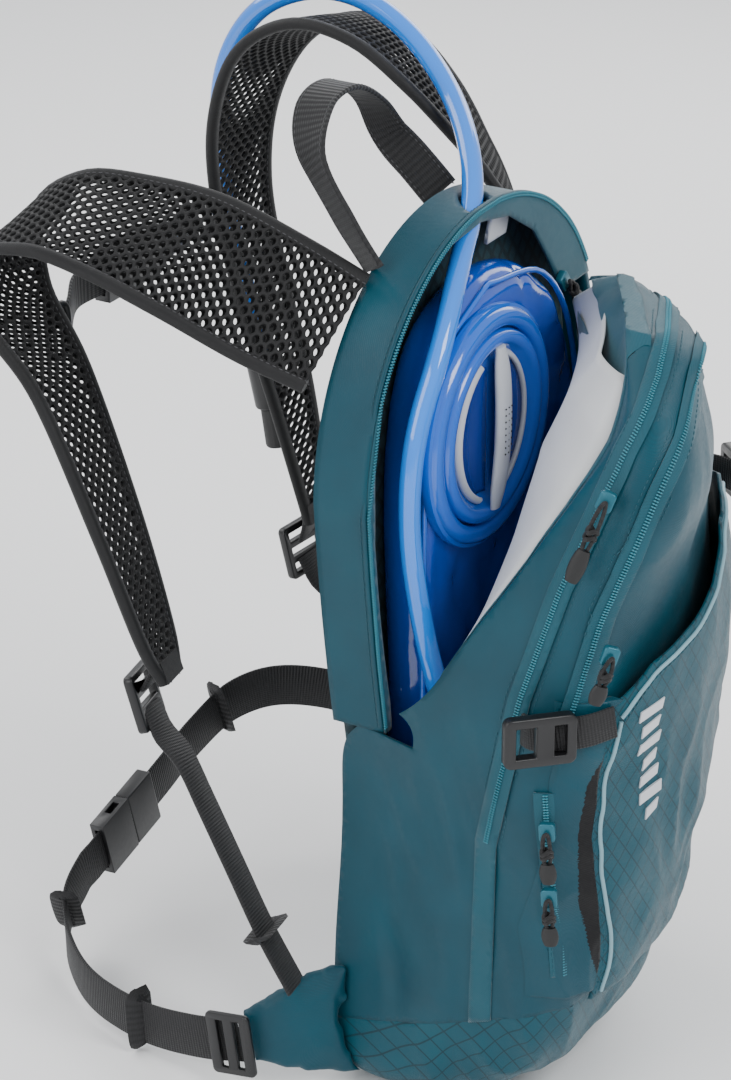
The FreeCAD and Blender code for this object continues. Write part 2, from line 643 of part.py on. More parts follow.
def make_buckle(prefix, middle, line, outward, width_cell, spare):
    """A side-release buckle: a hollow body, and a plug whose two prongs go into it."""
    width = size(width_cell)
    broad = width + 8
    thick = 9
    line = V(line).normalize()
    spot = at(*middle)
    place = facing(spot, line, outward)
    box = Part.makeBox(26, broad, thick, V(-26, -broad / 2, -thick / 2))
    cavity = Part.makeBox(18, broad - 4, thick - 4, V(-17.9, -broad / 2 + 2, -thick / 2 + 2))
    slot = Part.makeBox(4, width + 1, 3.4, V(-26, -width / 2 - 0.5, -1.7))
    windows = Part.makeBox(9, broad + 2, 4, V(-14, -broad / 2 - 1, -2))
    female = box.cut(cavity).cut(slot).cut(windows)
    plug = Part.makeBox(24, broad, thick, V(0.4, -broad / 2, -thick / 2))
    plug = plug.cut(Part.makeBox(spare + 6, width + 1.6, 3.6, V(24.5 - spare - 6, -width / 2 - 0.8, -1.8)))
    for sign in (-1, 1):
        prong = Part.makeBox(15, 4, 4, V(-14, sign * (broad / 2 - 5.2) - 2, -2))
        plug = plug.fuse(prong)
    for label, shape in ((prefix + "_buckle_body", female), (prefix + "_buckle_plug", plug.removeSplitter())):
        feature = soft(label, shape)
        feature.Placement = place
    return place


def make_belt():
    thick = size("belt_thick")
    width = size("belt_width")
    place = make_buckle("belt", BELT_MIDDLE, BELT_LINE, V(0, 1, -0.05), "belt_width", 17)
    line = V(BELT_LINE).normalize()
    middle = at(*BELT_MIDDLE)
    left = ats(LEFT_BELT) + [middle - line * reach for reach in (48, 36, 23.5)]
    soft("belt_webbing_left", strip(left, [width] * 9, [(0, 0.05, 1)] * 9, thick))
    start = [middle + line * reach for reach in (19, 44, 74)]
    right = start + ats(RIGHT_BELT)
    soft("belt_webbing_right", strip(right, [width] * 8, [(0, 0.05, 1)] * 8, thick))
    slot_length = width + 2 * size("slot_gap")
    broad = slot_length + 2 * size("frame_bar")
    for side, sign in (("left", -1), ("right", 1)):
        frame_place = facing(at(sign * 143.6, 34, -205), V(0, 1, -0.15), V(sign, 0, 0))
        slots = [((x, 0), 4, slot_length) for x in (-5, 5)]
        frame_plate("belt_triglide_" + side, 26, broad, 3, slots, "pull_thick", frame_place)
    return place


def make_sternum():
    """The chest strap between the shoulder straps, with a clip on each strap and a small buckle."""
    width = size("chest_width")
    middle = (-6, 176, 150)
    line = V(1, 0.0, 0.0)
    make_buckle("sternum", middle, line, V(0, 1, 0), "chest_width", 17)
    centre = at(*middle)
    left = [centre - line * 24, centre - line * 50, at(-80, 164, 147), at(-92, 160, 146)]
    right = [centre + line * 19, centre + line * 44, at(56, 178, 152)]
    chest = strip(left, [width] * 4, [(0, 0, 1)] * 4, 2)
    soft("sternum_webbing_left", chest)
    soft("sternum_webbing_right", strip(right, [width] * 3, [(0, 0, 1)] * 3, 2))


# ---------------------------------------------------------------- sliders, pulls and hooks

SLIDERS = {
    # name: (place, direction along the zip, outward, pull length)
    "reservoir": ((74, -33, 153), (-0.6, 0, 0.8), (0, -1, 0), 20),
    "main": ((-105, -151, 127), (0.139, -0.315, 0.938), (-0.93, -0.3, 0.1), 44),
    "pocket": ((-112, -158, 52), (0.12, -0.3, 0.95), (-0.8, -0.6, 0), 26),
    "side_upper": ((-116, -130, -48), (0, 0.08, 1), (-0.95, -0.3, 0), 28),
    "side_lower": ((-116, -132, -84), (0, 0.08, 1), (-0.95, -0.3, 0), 26),
}
PULL_NOSE = 1.5
PULL_LIFT = 0.8


def make_sliders():
    """Zipper sliders, each with a pull that swings on it and hangs down along the zip."""
    for name, (spot, along, outward, pull_length) in SLIDERS.items():
        place = facing(at(*spot), V(*along), V(*outward))
        frame_plate(name + "_slider", 10, 8, 2, [], "slider_thick", place)
        normal = place.Rotation.multVec(V(0, 0, 1))
        down = place.Rotation.multVec(V(-1, 0, 0))
        lift = normal * (size("slider_thick") + PULL_LIFT)
        middle = place.Base + lift + down * (pull_length / 2 - PULL_NOSE)
        hole = [((-pull_length / 2 + 5, 0), 3, 3)]
        frame_plate(name + "_pull", pull_length, 8, 1.4, hole, "pull_thick", facing(middle, down, normal))
        pivot = place.Base + lift + normal * (size("pull_thick") / 2)
        swing = down.cross(normal)
        print("%s pull pivot %s axis %s; slide %s" % (name, numbers(pivot), numbers(swing), numbers(down * -1)))


def numbers(vector):
    return " ".join("%.3f" % value for value in vector)


def make_hooks():
    """Helmet hooks at the front pocket's upper corners, free end to the rear, pivot at the front."""
    spots = {"left": ((-125, -128, 6), (-0.72, -0.7, 0)), "right": ((115, -116, 46), (0.75, -0.66, 0))}
    for side, (spot, outward) in spots.items():
        up = V(0, 0, 1 if side == "left" else -1)
        forward = up.cross(V(*outward))
        place = facing(at(*spot), forward, V(*outward))
        slots = [((10, 0), 6, size("lift_width") - 4), ((-7, 0), 10, size("lift_width") - 4)]
        frame_plate("helmet_hook_" + side, 36, 26, 4, slots, "hook_thick", place)
        pivot = place.multVec(V(15, 0, size("hook_thick") / 2))
        print("hook %s pivot %s axis %s" % (side, numbers(pivot), numbers(up)))


def check_all():
    doc.recompute()
    faults = []
    for thing in doc.Objects:
        if any(state in ("Invalid", "Error") for state in thing.State):
            faults.append(thing.Label + " failed")
    for node in nodes:
        if node.Shape.isNull() or not node.Shape.isValid() or not node.Shape.Solids:
            faults.append(node.Label + " has no valid solid")
    if faults:
        raise RuntimeError("; ".join(faults))


def write_all():
    os.makedirs("parts", exist_ok=True)
    for node in nodes:
        node.Shape.exportStep("parts/%s.step" % node.Label)
    print("%d nodes written" % len(nodes))


for maker in (make_back, make_rear_shell, make_front, make_reservoir, make_hose, make_straps, make_locks,
              make_wings, make_belt, make_sternum, make_sliders, make_hooks):
    maker()
check_all()
write_all()
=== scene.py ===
"""Looks of the hydration pack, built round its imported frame.  Metres, +Z up, +Y towards the wearer."""
import json
import math
import bpy
import bmesh
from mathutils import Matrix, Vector, noise
from mathutils.bvhtree import BVHTree


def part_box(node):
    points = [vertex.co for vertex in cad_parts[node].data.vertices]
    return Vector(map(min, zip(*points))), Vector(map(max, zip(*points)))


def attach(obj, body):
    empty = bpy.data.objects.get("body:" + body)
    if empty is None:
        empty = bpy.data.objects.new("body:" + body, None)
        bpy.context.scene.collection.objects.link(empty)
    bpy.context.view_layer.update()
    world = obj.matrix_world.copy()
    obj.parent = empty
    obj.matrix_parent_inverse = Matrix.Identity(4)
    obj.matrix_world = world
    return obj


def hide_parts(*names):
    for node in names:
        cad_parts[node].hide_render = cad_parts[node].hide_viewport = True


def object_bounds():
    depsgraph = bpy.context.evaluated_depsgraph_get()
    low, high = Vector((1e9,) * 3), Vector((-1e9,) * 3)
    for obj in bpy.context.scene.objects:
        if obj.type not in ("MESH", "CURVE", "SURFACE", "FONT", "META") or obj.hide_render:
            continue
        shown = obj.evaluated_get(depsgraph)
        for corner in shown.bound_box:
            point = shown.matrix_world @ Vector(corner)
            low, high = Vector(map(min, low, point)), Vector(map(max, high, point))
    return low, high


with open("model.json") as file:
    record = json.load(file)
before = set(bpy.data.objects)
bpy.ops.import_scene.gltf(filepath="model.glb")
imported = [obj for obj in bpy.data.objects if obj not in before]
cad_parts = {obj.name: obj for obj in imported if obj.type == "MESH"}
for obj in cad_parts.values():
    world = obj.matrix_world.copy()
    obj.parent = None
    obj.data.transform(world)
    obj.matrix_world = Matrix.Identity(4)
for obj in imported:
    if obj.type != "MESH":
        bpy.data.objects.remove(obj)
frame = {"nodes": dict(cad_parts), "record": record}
cad_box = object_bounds()
MM = 0.001
ROOT = "root"
TURN = 2 * math.pi
WEB_STEP = 0.004        # metres between a strap's sections
LATHE_STEPS = 96
MERGE = 1e-5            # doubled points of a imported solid, metres
SOFT_FRAMES = 20        # frames that a pad is blown up for
PRESSURE = 4
FACE_LIMIT = 90000      # no finer cloth beyond this
TEETH_APART = 1.3       # millimetres, as are the pitches and sizes below
TOOTH_PITCH, TOOTH = 1.5, (1.6, 0.9, 1.3)
SEAM_PITCH, SEAM_STITCH = 3.2, (0.55, 2.3, 0.5)
EDGE_PITCH, EDGE_STITCH = 3.4, (0.6, 2.4, 0.5)
UNEVEN = 0.1            # how much the stitches vary in size
scene = bpy.context.scene


# ---------- points, lines and ribbons

def mm(point):
    return Vector(point) * MM


def smooth(values, parts):
    """Values between stations on a Catmull-Rom curve; each station is kept."""
    ends = [values[0] * 2 - values[1]] + list(values) + [values[-1] * 2 - values[-2]]
    out = []
    for i in range(1, len(ends) - 2):
        a, b, c, d = ends[i - 1:i + 3]
        for k in range(parts):
            u = k / parts
            out.append((b * 2 + (c - a) * u + (a * 2 - b * 5 + c * 4 - d) * u * u
                        + (b * 3 - a - c * 3 + d) * u ** 3) * 0.5)
    return out + [values[-1]]


def circle(count):
    """Angles spaced evenly round a turn."""
    return [TURN * k / count for k in range(count)]


def tangents(points):
    last = len(points) - 1
    return [(points[min(i + 1, last)] - points[max(i - 1, 0)]).normalized() for i in range(last + 1)]


class Ribbon:
    """A strap's middle line with its side and face directions, met by distance along it."""

    def __init__(self, points, sides, widths=None):
        self.points = smooth([mm(p) for p in points], 8)
        across = smooth([Vector(s).normalized() for s in sides], 8)
        self.widths = smooth(list(widths or [20.0] * len(points)), 8)
        self.frames = []
        for run, side in zip(tangents(self.points), across):
            flat = (side - run * side.dot(run)).normalized()
            self.frames.append((flat, flat.cross(run).normalized()))
        self.marks = [0.0]
        for a, b in zip(self.points, self.points[1:]):
            self.marks.append(self.marks[-1] + (b - a).length)
        self.length = self.marks[-1]

    def spot(self, s):
        s = min(max(s, 0.0), self.length)
        i = 0
        while i < len(self.marks) - 2 and self.marks[i + 1] < s:
            i += 1
        t = (s - self.marks[i]) / (self.marks[i + 1] - self.marks[i])
        side = self.frames[i][0].lerp(self.frames[i + 1][0], t)
        up = self.frames[i][1].lerp(self.frames[i + 1][1], t)
        wide = self.widths[i] * (1 - t) + self.widths[i + 1] * t
        return self.points[i].lerp(self.points[i + 1], t), side, up, wide

    def at(self, s, across=0.0, up=0.0):
        """A point set off from the middle line, in millimetres across and out of the face."""
        point, side, out, _ = self.spot(s)
        return point + side * (across * MM) + out * (up * MM)


def even(start, end, step):
    count = max(2, round((end - start) / step) + 1)
    return [start + (end - start) * k / (count - 1) for k in range(count)]


# ---------- meshes

def new_piece(name, verts, faces, material, body=ROOT):
    mesh = bpy.data.meshes.new(name)
    mesh.from_pydata([tuple(v) for v in verts], [], faces)
    mesh.materials.append(material)
    mesh.shade_smooth()
    return place(name, mesh, body)


def linked(name, data):
    thing = bpy.data.objects.new(name, data)
    scene.collection.objects.link(thing)
    return thing


def place(name, mesh, body=ROOT):
    piece = linked(name, mesh)
    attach(piece, body)
    return piece


def modify(piece, name, kind, **settings):
    modifier = piece.modifiers.new(name, kind)
    for label, value in settings.items():
        setattr(modifier, label, value)
    return modifier


def data_of(mesh, name, material=None):
    """Mesh data from a bmesh, smooth and finished where a material is given."""
    data = bpy.data.meshes.new(name)
    mesh.to_mesh(data)
    mesh.free()
    if material:
        data.materials.append(material)
        data.shade_smooth()
    return data


def clean(piece, merge=1e-6):
    """Merges doubled points and turns the faces outwards."""
    mesh = bmesh.new()
    mesh.from_mesh(piece.data)
    bmesh.ops.remove_doubles(mesh, verts=mesh.verts, dist=merge)
    bmesh.ops.dissolve_degenerate(mesh, dist=1e-7, edges=mesh.edges)
    bmesh.ops.recalc_face_normals(mesh, faces=mesh.faces)
    mesh.to_mesh(piece.data)
    mesh.free()
    return piece


def loft(name, points, frames, profiles, material, body=ROOT, closed=False):
    """Sections of (across, up) millimetres carried along a line, with a UV map in metres."""
    grid = []
    for point, (across, up), profile in zip(points, frames, profiles):
        grid.append([point + across * (a * MM) + up * (b * MM) for a, b in profile])
    rows, cols = len(grid), len(profiles[0])
    faces, spots = [], []
    around = [0.0]
    for j in range(cols):
        around.append(around[-1] + (grid[rows // 2][(j + 1) % cols] - grid[rows // 2][j]).length)
    along = [0.0]
    for a, b in zip(points, points[1:]):
        along.append(along[-1] + (b - a).length)
    along.append(along[-1] + (points[0] - points[-1]).length)
    for i in range(rows if closed else rows - 1):
        for j in range(cols):
            k, after = (j + 1) % cols, (i + 1) % rows
            faces.append((i * cols + j, i * cols + k, after * cols + k, after * cols + j))
            spots += [(around[j], along[i]), (around[j + 1], along[i]), (around[j + 1], along[i + 1]),
                      (around[j], along[i + 1])]
    if not closed:
        faces.append(tuple(reversed(range(cols))))
        faces.append(tuple(range((rows - 1) * cols, rows * cols)))
        spots += [(0.0, 0.0)] * (2 * cols)
    piece = new_piece(name, [p for row in grid for p in row], faces, material, body)
    layer = piece.data.uv_layers.new(name="cloth")
    for loop, spot in zip(layer.data, spots):
        loop.uv = spot
    piece.data.set_sharp_from_angle(angle=math.radians(50))
    clean(piece)
    return piece


def grid_faces(rows, cols):
    """Four-sided faces over rows of one more point than there are columns."""
    wide = cols + 1
    return [(i * wide + j, i * wide + j + 1, i * wide + j + wide + 1, i * wide + j + wide)
            for i in range(rows) for j in range(cols)]


def web_profile(width, thick):
    w, t = width / 2, thick / 2
    return [(-w + 0.7, -t), (0, -t), (w - 0.7, -t), (w, -t * 0.3), (w, t * 0.3), (w - 0.7, t), (0, t),
            (-w + 0.7, t), (-w, t * 0.3), (-w, -t * 0.3)]


def oval(wide, tall, count=12):
    return [(wide / 2 * math.cos(t), tall / 2 * math.sin(t)) for t in circle(count)]


def webbing(name, ribbon, width, thick, material, body=ROOT, start=0.0):
    spots = [ribbon.spot(s) for s in even(start, ribbon.length, WEB_STEP)]
    return loft(name, [spot[0] for spot in spots], [spot[1:3] for spot in spots],
                [web_profile(width, thick)] * len(spots), material, body)


def rope(name, points, radius, material, body=ROOT, closed=False, sides=10, flat=1.0):
    """A round cord or bead along points in metres."""
    runs = tangents(points)
    frames = []
    side = runs[0].orthogonal().normalized()
    for run in runs:
        side = (side - run * side.dot(run)).normalized()
        frames.append((side, side.cross(run).normalized()))
    profile = oval(radius * 2, radius * 2 * flat, sides)
    return loft(name, points, frames, [profile] * len(points), material, body, closed)


def lathe(name, profile, centre, axis, material, body=ROOT):
    """A closed profile of (radius, height) millimetres turned about an axis through the centre."""
    axis = Vector(axis).normalized()
    first = axis.orthogonal().normalized()
    second = axis.cross(first)
    verts, faces = [], []
    count = len(profile)
    for k in range(LATHE_STEPS):
        turn = TURN * k / LATHE_STEPS
        ray = first * math.cos(turn) + second * math.sin(turn)
        verts += [mm(centre) + ray * (r * MM) + axis * (d * MM) for r, d in profile]
        for j in range(count):
            a, b, after = k * count + j, k * count + (j + 1) % count, (k + 1) % LATHE_STEPS
            faces.append((a, b, after * count + (j + 1) % count, after * count + j))
    piece = new_piece(name, verts, faces, material, body)
    clean(piece)
    piece.data.set_sharp_from_angle(angle=math.radians(45))
    return piece


def body_of(node):
    return next(b for b, members in frame["record"]["behaviour"]["bodies"].items() if node in members)


def copy_of(node):
    mesh = bmesh.new()
    mesh.from_mesh(frame["nodes"][node].data)
    bmesh.ops.remove_doubles(mesh, verts=mesh.verts, dist=MERGE)
    bmesh.ops.recalc_face_normals(mesh, faces=mesh.faces)
    return mesh


def moulded_part(node, material, width=0.5):
    """A moulded part with its edges rounded, standing for its plain solid."""
    mesh = copy_of(node)
    bmesh.ops.dissolve_limit(mesh, angle_limit=0.02, verts=mesh.verts, edges=mesh.edges)
    piece = place(node + "_moulded", data_of(mesh, node + "_moulded", material), body_of(node))
    modify(piece, "round_edges", "BEVEL", width=width * MM, segments=2, limit_method="ANGLE",
           angle_limit=math.radians(35), harden_normals=True)
    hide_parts(node)
    return piece


def waver(place, shift=(0, 0, 0)):
    return noise.noise(Vector(place) + Vector(shift))


def crumple(p):
    """How far the cloth of the pack's body stands off its even shape at a point, as a vector."""
    q = p / MM
    out = Vector((q.x, (q.y + 45) * 1.1, 0))
    near = min(1.0, max(0.0, (-q.y - 20) / 25))
    if out.length < 1:
        return Vector((0, 0, 0))
    out.normalize()
    drape = waver((q.x / 34, q.y / 26, q.z / 95), (2.3, 5.1, 0.7))
    pull = waver((q.x / 20 + q.z / 60, q.y / 17, q.z / 42), (7.7, 1.2, 4.4))
    ridge = 1 - 2 * abs(waver((q.x / 26, q.y / 21 - q.z / 70, q.z / 62), (1.9, 8.2, 3.3)))
    low = min(1.0, max(0.35, (60 - q.z) / 140))
    return out * ((3.4 * drape + 2.0 * pull + 2.6 * (ridge - 0.55)) * low * near * MM)


def cloth_part(node, material, longest=5.0, field=crumple):
    """A sewn panel with its threads of points close enough to crease, standing for its plain solid."""
    mesh = copy_of(node)
    for _ in range(7):
        long_edges = [e for e in mesh.edges if e.calc_length() > longest * MM]
        if not long_edges or len(mesh.faces) > FACE_LIMIT:
            break
        bmesh.ops.subdivide_edges(mesh, edges=long_edges, cuts=1)
        bmesh.ops.triangulate(mesh, faces=[f for f in mesh.faces if len(f.verts) > 3])
    if field:
        for v in mesh.verts:
            v.co += field(v.co)
    data = data_of(mesh, node + "_cloth", material)
    data.set_sharp_from_angle(angle=math.radians(40))
    piece = place(node + "_cloth", data, body_of(node))
    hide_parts(node)
    return piece


def puffed(node, material, cap, voxel):
    """A stuffed pad: even mesh, blown up by cloth pressure, with its swelling held back."""
    blank = place(node + "_blank", data_of(copy_of(node), node + "_pad"))
    modify(blank, "even", "REMESH", mode="VOXEL", voxel_size=voxel * MM)
    modify(blank, "even_out", "SMOOTH", factor=0.5, iterations=4)
    data = baked(blank)
    rest = [v.co.copy() for v in data.vertices]
    pad = place(node + "_soft", data)
    soft = modify(pad, "pressure", "CLOTH").settings
    soft.use_pressure = True
    soft.uniform_pressure_force = PRESSURE
    soft.effector_weights.gravity = 0
    for number in range(1, SOFT_FRAMES + 1):
        scene.frame_set(number)
    data = baked(pad)
    scene.frame_set(1)
    for v, start in zip(data.vertices, rest):
        move = v.co - start
        if move.length > cap * MM:
            v.co = start + move.normalized() * (cap * MM)
    data.materials.clear()
    data.materials.append(material)
    data.shade_smooth()
    piece = place(node + "_padding", data, body_of(node))
    modify(piece, "finer", "SUBSURF", levels=1, render_levels=1)
    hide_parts(node)
    return piece


def baked(piece):
    """The piece's finished mesh, with the piece itself taken away."""
    graph = bpy.context.evaluated_depsgraph_get()
    graph.update()
    data = bpy.data.meshes.new_from_object(piece.evaluated_get(graph), depsgraph=graph)
    bpy.data.objects.remove(piece)
    return data


# ---------- rows of teeth, stitches and ribs

def row_tree():
    """Small rounded pieces set evenly along a line, facing out of the cloth."""
    tree = bpy.data.node_groups.new("row_of_pieces", "GeometryNodeTree")
    for label, kind in (("Line", "Geometry"), ("Pitch", "Float"), ("Size", "Vector"), ("Uneven", "Float"),
                        ("Finish", "Material")):
        tree.interface.new_socket(label, in_out="INPUT", socket_type="NodeSocket" + kind)
    tree.interface.new_socket("Row", in_out="OUTPUT", socket_type="NodeSocketGeometry")

    def make(kind, sources=(), values=(), **plain):
        """A node with its plain settings, its links by input, and its values by input."""
        node = tree.nodes.new(kind)
        for label, value in plain.items():
            setattr(node, label, value)
        for socket, source in sources:
            tree.links.new(source, node.inputs[socket])
        for socket, value in values:
            node.inputs[socket].default_value = value
        return node

    given, out = make("NodeGroupInput").outputs, make("NodeGroupOutput")
    line = make("GeometryNodeMeshToCurve", [(0, given["Line"])])
    spaced = make("GeometryNodeResampleCurve", [("Curve", line.outputs[0])], mode="LENGTH")
    tree.links.new(given["Pitch"], spaced.inputs["Length"])
    tangent = make("GeometryNodeInputTangent")
    outward = make("GeometryNodeInputNamedAttribute", data_type="FLOAT_VECTOR")
    outward.inputs["Name"].default_value = "outward"
    turned = make("FunctionNodeAlignRotationToVector", [("Vector", tangent.outputs[0])], axis="Y")
    faced = make("FunctionNodeAlignRotationToVector", [
        ("Rotation", turned.outputs[0]), ("Vector", outward.outputs["Attribute"])], axis="Z", pivot_axis="Y")
    bead = make("GeometryNodeMeshIcoSphere", values=[("Radius", 0.5), ("Subdivisions", 2)])
    spread = make("ShaderNodeMath", [(1, given["Uneven"])], [(0, 1.0)], operation="SUBTRACT")
    varied = make("FunctionNodeRandomValue", [(2, spread.outputs[0])], [("Seed", 11), (3, 1.0)],
                  data_type="FLOAT")
    scaled = make("ShaderNodeVectorMath", [(0, given["Size"]), ("Scale", varied.outputs[1])],
                  operation="SCALE")
    on = make("GeometryNodeInstanceOnPoints", [
        ("Points", spaced.outputs[0]), ("Instance", bead.outputs[0]), ("Rotation", faced.outputs[0]),
        ("Scale", scaled.outputs[0])])
    real = make("GeometryNodeRealizeInstances", [(0, on.outputs[0])])
    coloured = make("GeometryNodeSetMaterial", [("Geometry", real.outputs[0]),
        ("Material", given["Finish"])])
    tree.links.new(coloured.outputs[0], out.inputs[0])
    return tree


ROW = row_tree()


def row_of(name, lines, pitch, size, finish, body=ROOT, uneven=0.0):
    """Pieces of (across, along, high) millimetres along lines of (point, outward) pairs."""
    mesh = bpy.data.meshes.new(name)
    points, edges, facing = [], [], []
    for line in lines:
        first = len(points)
        points += [tuple(p) for p, _ in line]
        facing += [tuple(o) for _, o in line]
        edges += [(first + i, first + i + 1) for i in range(len(line) - 1)]
    mesh.from_pydata(points, edges, [])
    layer = mesh.attributes.new("outward", "FLOAT_VECTOR", "POINT")
    for item, way in zip(layer.data, facing):
        item.vector = way
    blank = place(name + "_line", mesh, body)
    rows = modify(blank, "rows", "NODES", node_group=ROW)
    values = {"Pitch": pitch * MM, "Size": [s * MM for s in size], "Uneven": uneven, "Finish": finish}
    for socket in ROW.interface.items_tree:
        if socket.name in values and socket.in_out == "INPUT":
            rows[socket.identifier] = values[socket.name]
    data = baked(blank)
    data.shade_smooth()
    return place(name, data, body)


# ---------- finishes

def group(name, inputs, outputs):
    tree = bpy.data.node_groups.new(name, "ShaderNodeTree")
    for label, kind, value in inputs:
        socket = tree.interface.new_socket(label, in_out="INPUT", socket_type="NodeSocket" + kind)
        if value is not None:
            socket.default_value = value
    for label in outputs:
        tree.interface.new_socket(label, in_out="OUTPUT", socket_type="NodeSocketFloat")
    return tree, tree.nodes.new("NodeGroupInput"), tree.nodes.new("NodeGroupOutput")


def feed(tree, socket, value):
    if hasattr(value, "is_output"):
        tree.links.new(value, socket)
    else:
        socket.default_value = value


def maths(tree, operation, *values):
    node = tree.nodes.new("ShaderNodeMath")
    node.operation = operation
    for socket, value in zip(node.inputs, values):
        feed(tree, socket, value)
    return node.outputs[0]


def mixed(tree, factor, a, b):
    node = tree.nodes.new("ShaderNodeMix")
    node.data_type = "RGBA"
    feed(tree, node.inputs[0], factor)
    feed(tree, node.inputs[6], (*a, 1) if isinstance(a, tuple) else a)
    feed(tree, node.inputs[7], (*b, 1) if isinstance(b, tuple) else b)
    return node.outputs[2]


def split(tree, place):
    node = tree.nodes.new("ShaderNodeSeparateXYZ")
    tree.links.new(place, node.inputs[0])
    return node.outputs


def waves(tree, value, pitch):
    return maths(tree, "SINE", maths(tree, "MULTIPLY", maths(tree, "DIVIDE", value, pitch), TURN))


def weave_group():
    """Crossing threads on a place in space: their height."""
    tree, given, out = group("weave", [("Place", "Vector", None), ("Pitch", "Float", 0.0008)], ["Height"])
    x, y, z = split(tree, given.outputs[0])
    across = waves(tree, maths(tree, "ADD", x, y), given.outputs[1])
    along = waves(tree, maths(tree, "MULTIPLY_ADD", y, 0.31, z), given.outputs[1])
    tree.links.new(maths(tree, "MULTIPLY", across, along), out.inputs[0])
    return tree


def mottle_group():
    """Slow and fine variation over an object, for dye, dust and wear."""
    tree, given, out = group("mottle", [("Place", "Vector", None), ("Scale", "Float", 40.0)],
        ["Slow", "Fine"])
    for label, factor in (("Slow", 1.0), ("Fine", 14.0)):
        spots = tree.nodes.new("ShaderNodeTexNoise")
        spots.inputs["Detail"].default_value = 3
        tree.links.new(given.outputs[0], spots.inputs["Vector"])
        tree.links.new(maths(tree, "MULTIPLY", given.outputs[1], factor), spots.inputs["Scale"])
        tree.links.new(spots.outputs[0], out.inputs[label])
    return tree


def diamond_group():
    """Crossing slanted lines, as on ripstop and net: 1 on a line and 0 between."""
    tree, given, out = group("diamonds", [("Across", "Float", 0.0), ("Along", "Float", 0.0),
                                          ("Line", "Float", 0.08)], ["Lines"])
    lines = []
    for operation in ("ADD", "SUBTRACT"):
        place = maths(tree, operation, given.outputs[0], given.outputs[1])
        near = maths(tree, "ABSOLUTE", maths(tree, "SUBTRACT", maths(tree, "FRACT", place), 0.5))
        lines.append(maths(tree, "GREATER_THAN", near, maths(tree, "SUBTRACT", 0.5, given.outputs[2])))
    tree.links.new(maths(tree, "MAXIMUM", *lines), out.inputs[0])
    return tree


WEAVE = weave_group()
MOTTLE = mottle_group()
DIAMONDS = diamond_group()


def use(tree, source, **values):
    node = tree.nodes.new("ShaderNodeGroup")
    node.node_tree = source
    for label, value in values.items():
        feed(tree, node.inputs[label], value)
    return node.outputs


def finish_of(name, colour, rough, **plain):
    """A new material, its node tree, its shader and the object's own coordinates."""
    made = bpy.data.materials.new(name)
    made.use_nodes = True
    tree = made.node_tree
    shader = tree.nodes["Principled BSDF"]
    shader.inputs["Base Color"].default_value = (*colour, 1)
    shader.inputs["Roughness"].default_value = rough
    for label, value in plain.items():
        shader.inputs[label.replace("_", " ")].default_value = value
    return made, tree, shader, tree.nodes.new("ShaderNodeTexCoord").outputs["Object"]


def surface(tree, shader, colour, fine, rough, spread, height, strength, distance):
    """Joins a finish's colour, its uneven gloss and its relief to the shader."""
    tree.links.new(colour, shader.inputs["Base Color"])
    gloss = maths(tree, "MULTIPLY_ADD", fine, spread, rough - spread / 2)
    tree.links.new(gloss, shader.inputs["Roughness"])
    node = tree.nodes.new("ShaderNodeBump")
    node.inputs["Strength"].default_value = strength
    node.inputs["Distance"].default_value = distance
    tree.links.new(height, node.inputs["Height"])
    tree.links.new(node.outputs[0], shader.inputs["Normal"])


def cloth(name, dark, light, pitch, rough=0.5, sheen=0.15, grid=None):
    """Woven cloth: threads, slow change of dye, small wrinkles, and a ripstop grid where one is given."""
    made, tree, shader, place = finish_of(name, light, rough, Sheen_Weight=sheen, Sheen_Roughness=0.4,
                                          Specular_IOR_Level=0.3)
    threads = use(tree, WEAVE, Place=place, Pitch=pitch)[0]
    slow, fine = use(tree, MOTTLE, Place=place, Scale=26.0)
    tone = mixed(tree, slow, dark, light)
    colour = mixed(tree, maths(tree, "MULTIPLY_ADD", threads, 0.08, 0.1), tone, (0.0, 0.0, 0.0))
    height = maths(tree, "MULTIPLY_ADD", fine, 1.4, threads)
    if grid:
        x, y, z = split(tree, place)
        across = maths(tree, "DIVIDE", maths(tree, "MULTIPLY_ADD", y, -0.55, x), grid[0])
        lines = use(tree, DIAMONDS, Across=across, Along=maths(tree, "DIVIDE", z, grid[1]), Line=grid[2])[0]
        colour = mixed(tree, maths(tree, "MULTIPLY", lines, 0.7), colour, tuple(c * 0.35 for c in dark))
        height = maths(tree, "MULTIPLY_ADD", lines, 2.5, height)
    surface(tree, shader, colour, fine, rough, 0.2, height, 0.3, 0.0002)
    return made


def moulded(name, colour, rough, grain=30.0, depth=0.0001, **plain):
    """Moulded plastic or rubber: a fine grain and slightly uneven gloss."""
    made, tree, shader, place = finish_of(name, colour, rough, **plain)
    slow, fine = use(tree, MOTTLE, Place=place, Scale=grain)
    tone = mixed(tree, slow, tuple(c * 0.8 for c in colour), tuple(min(1, c * 1.15) for c in colour))
    surface(tree, shader, tone, fine, rough, 0.16, fine, 0.25, depth)
    return made


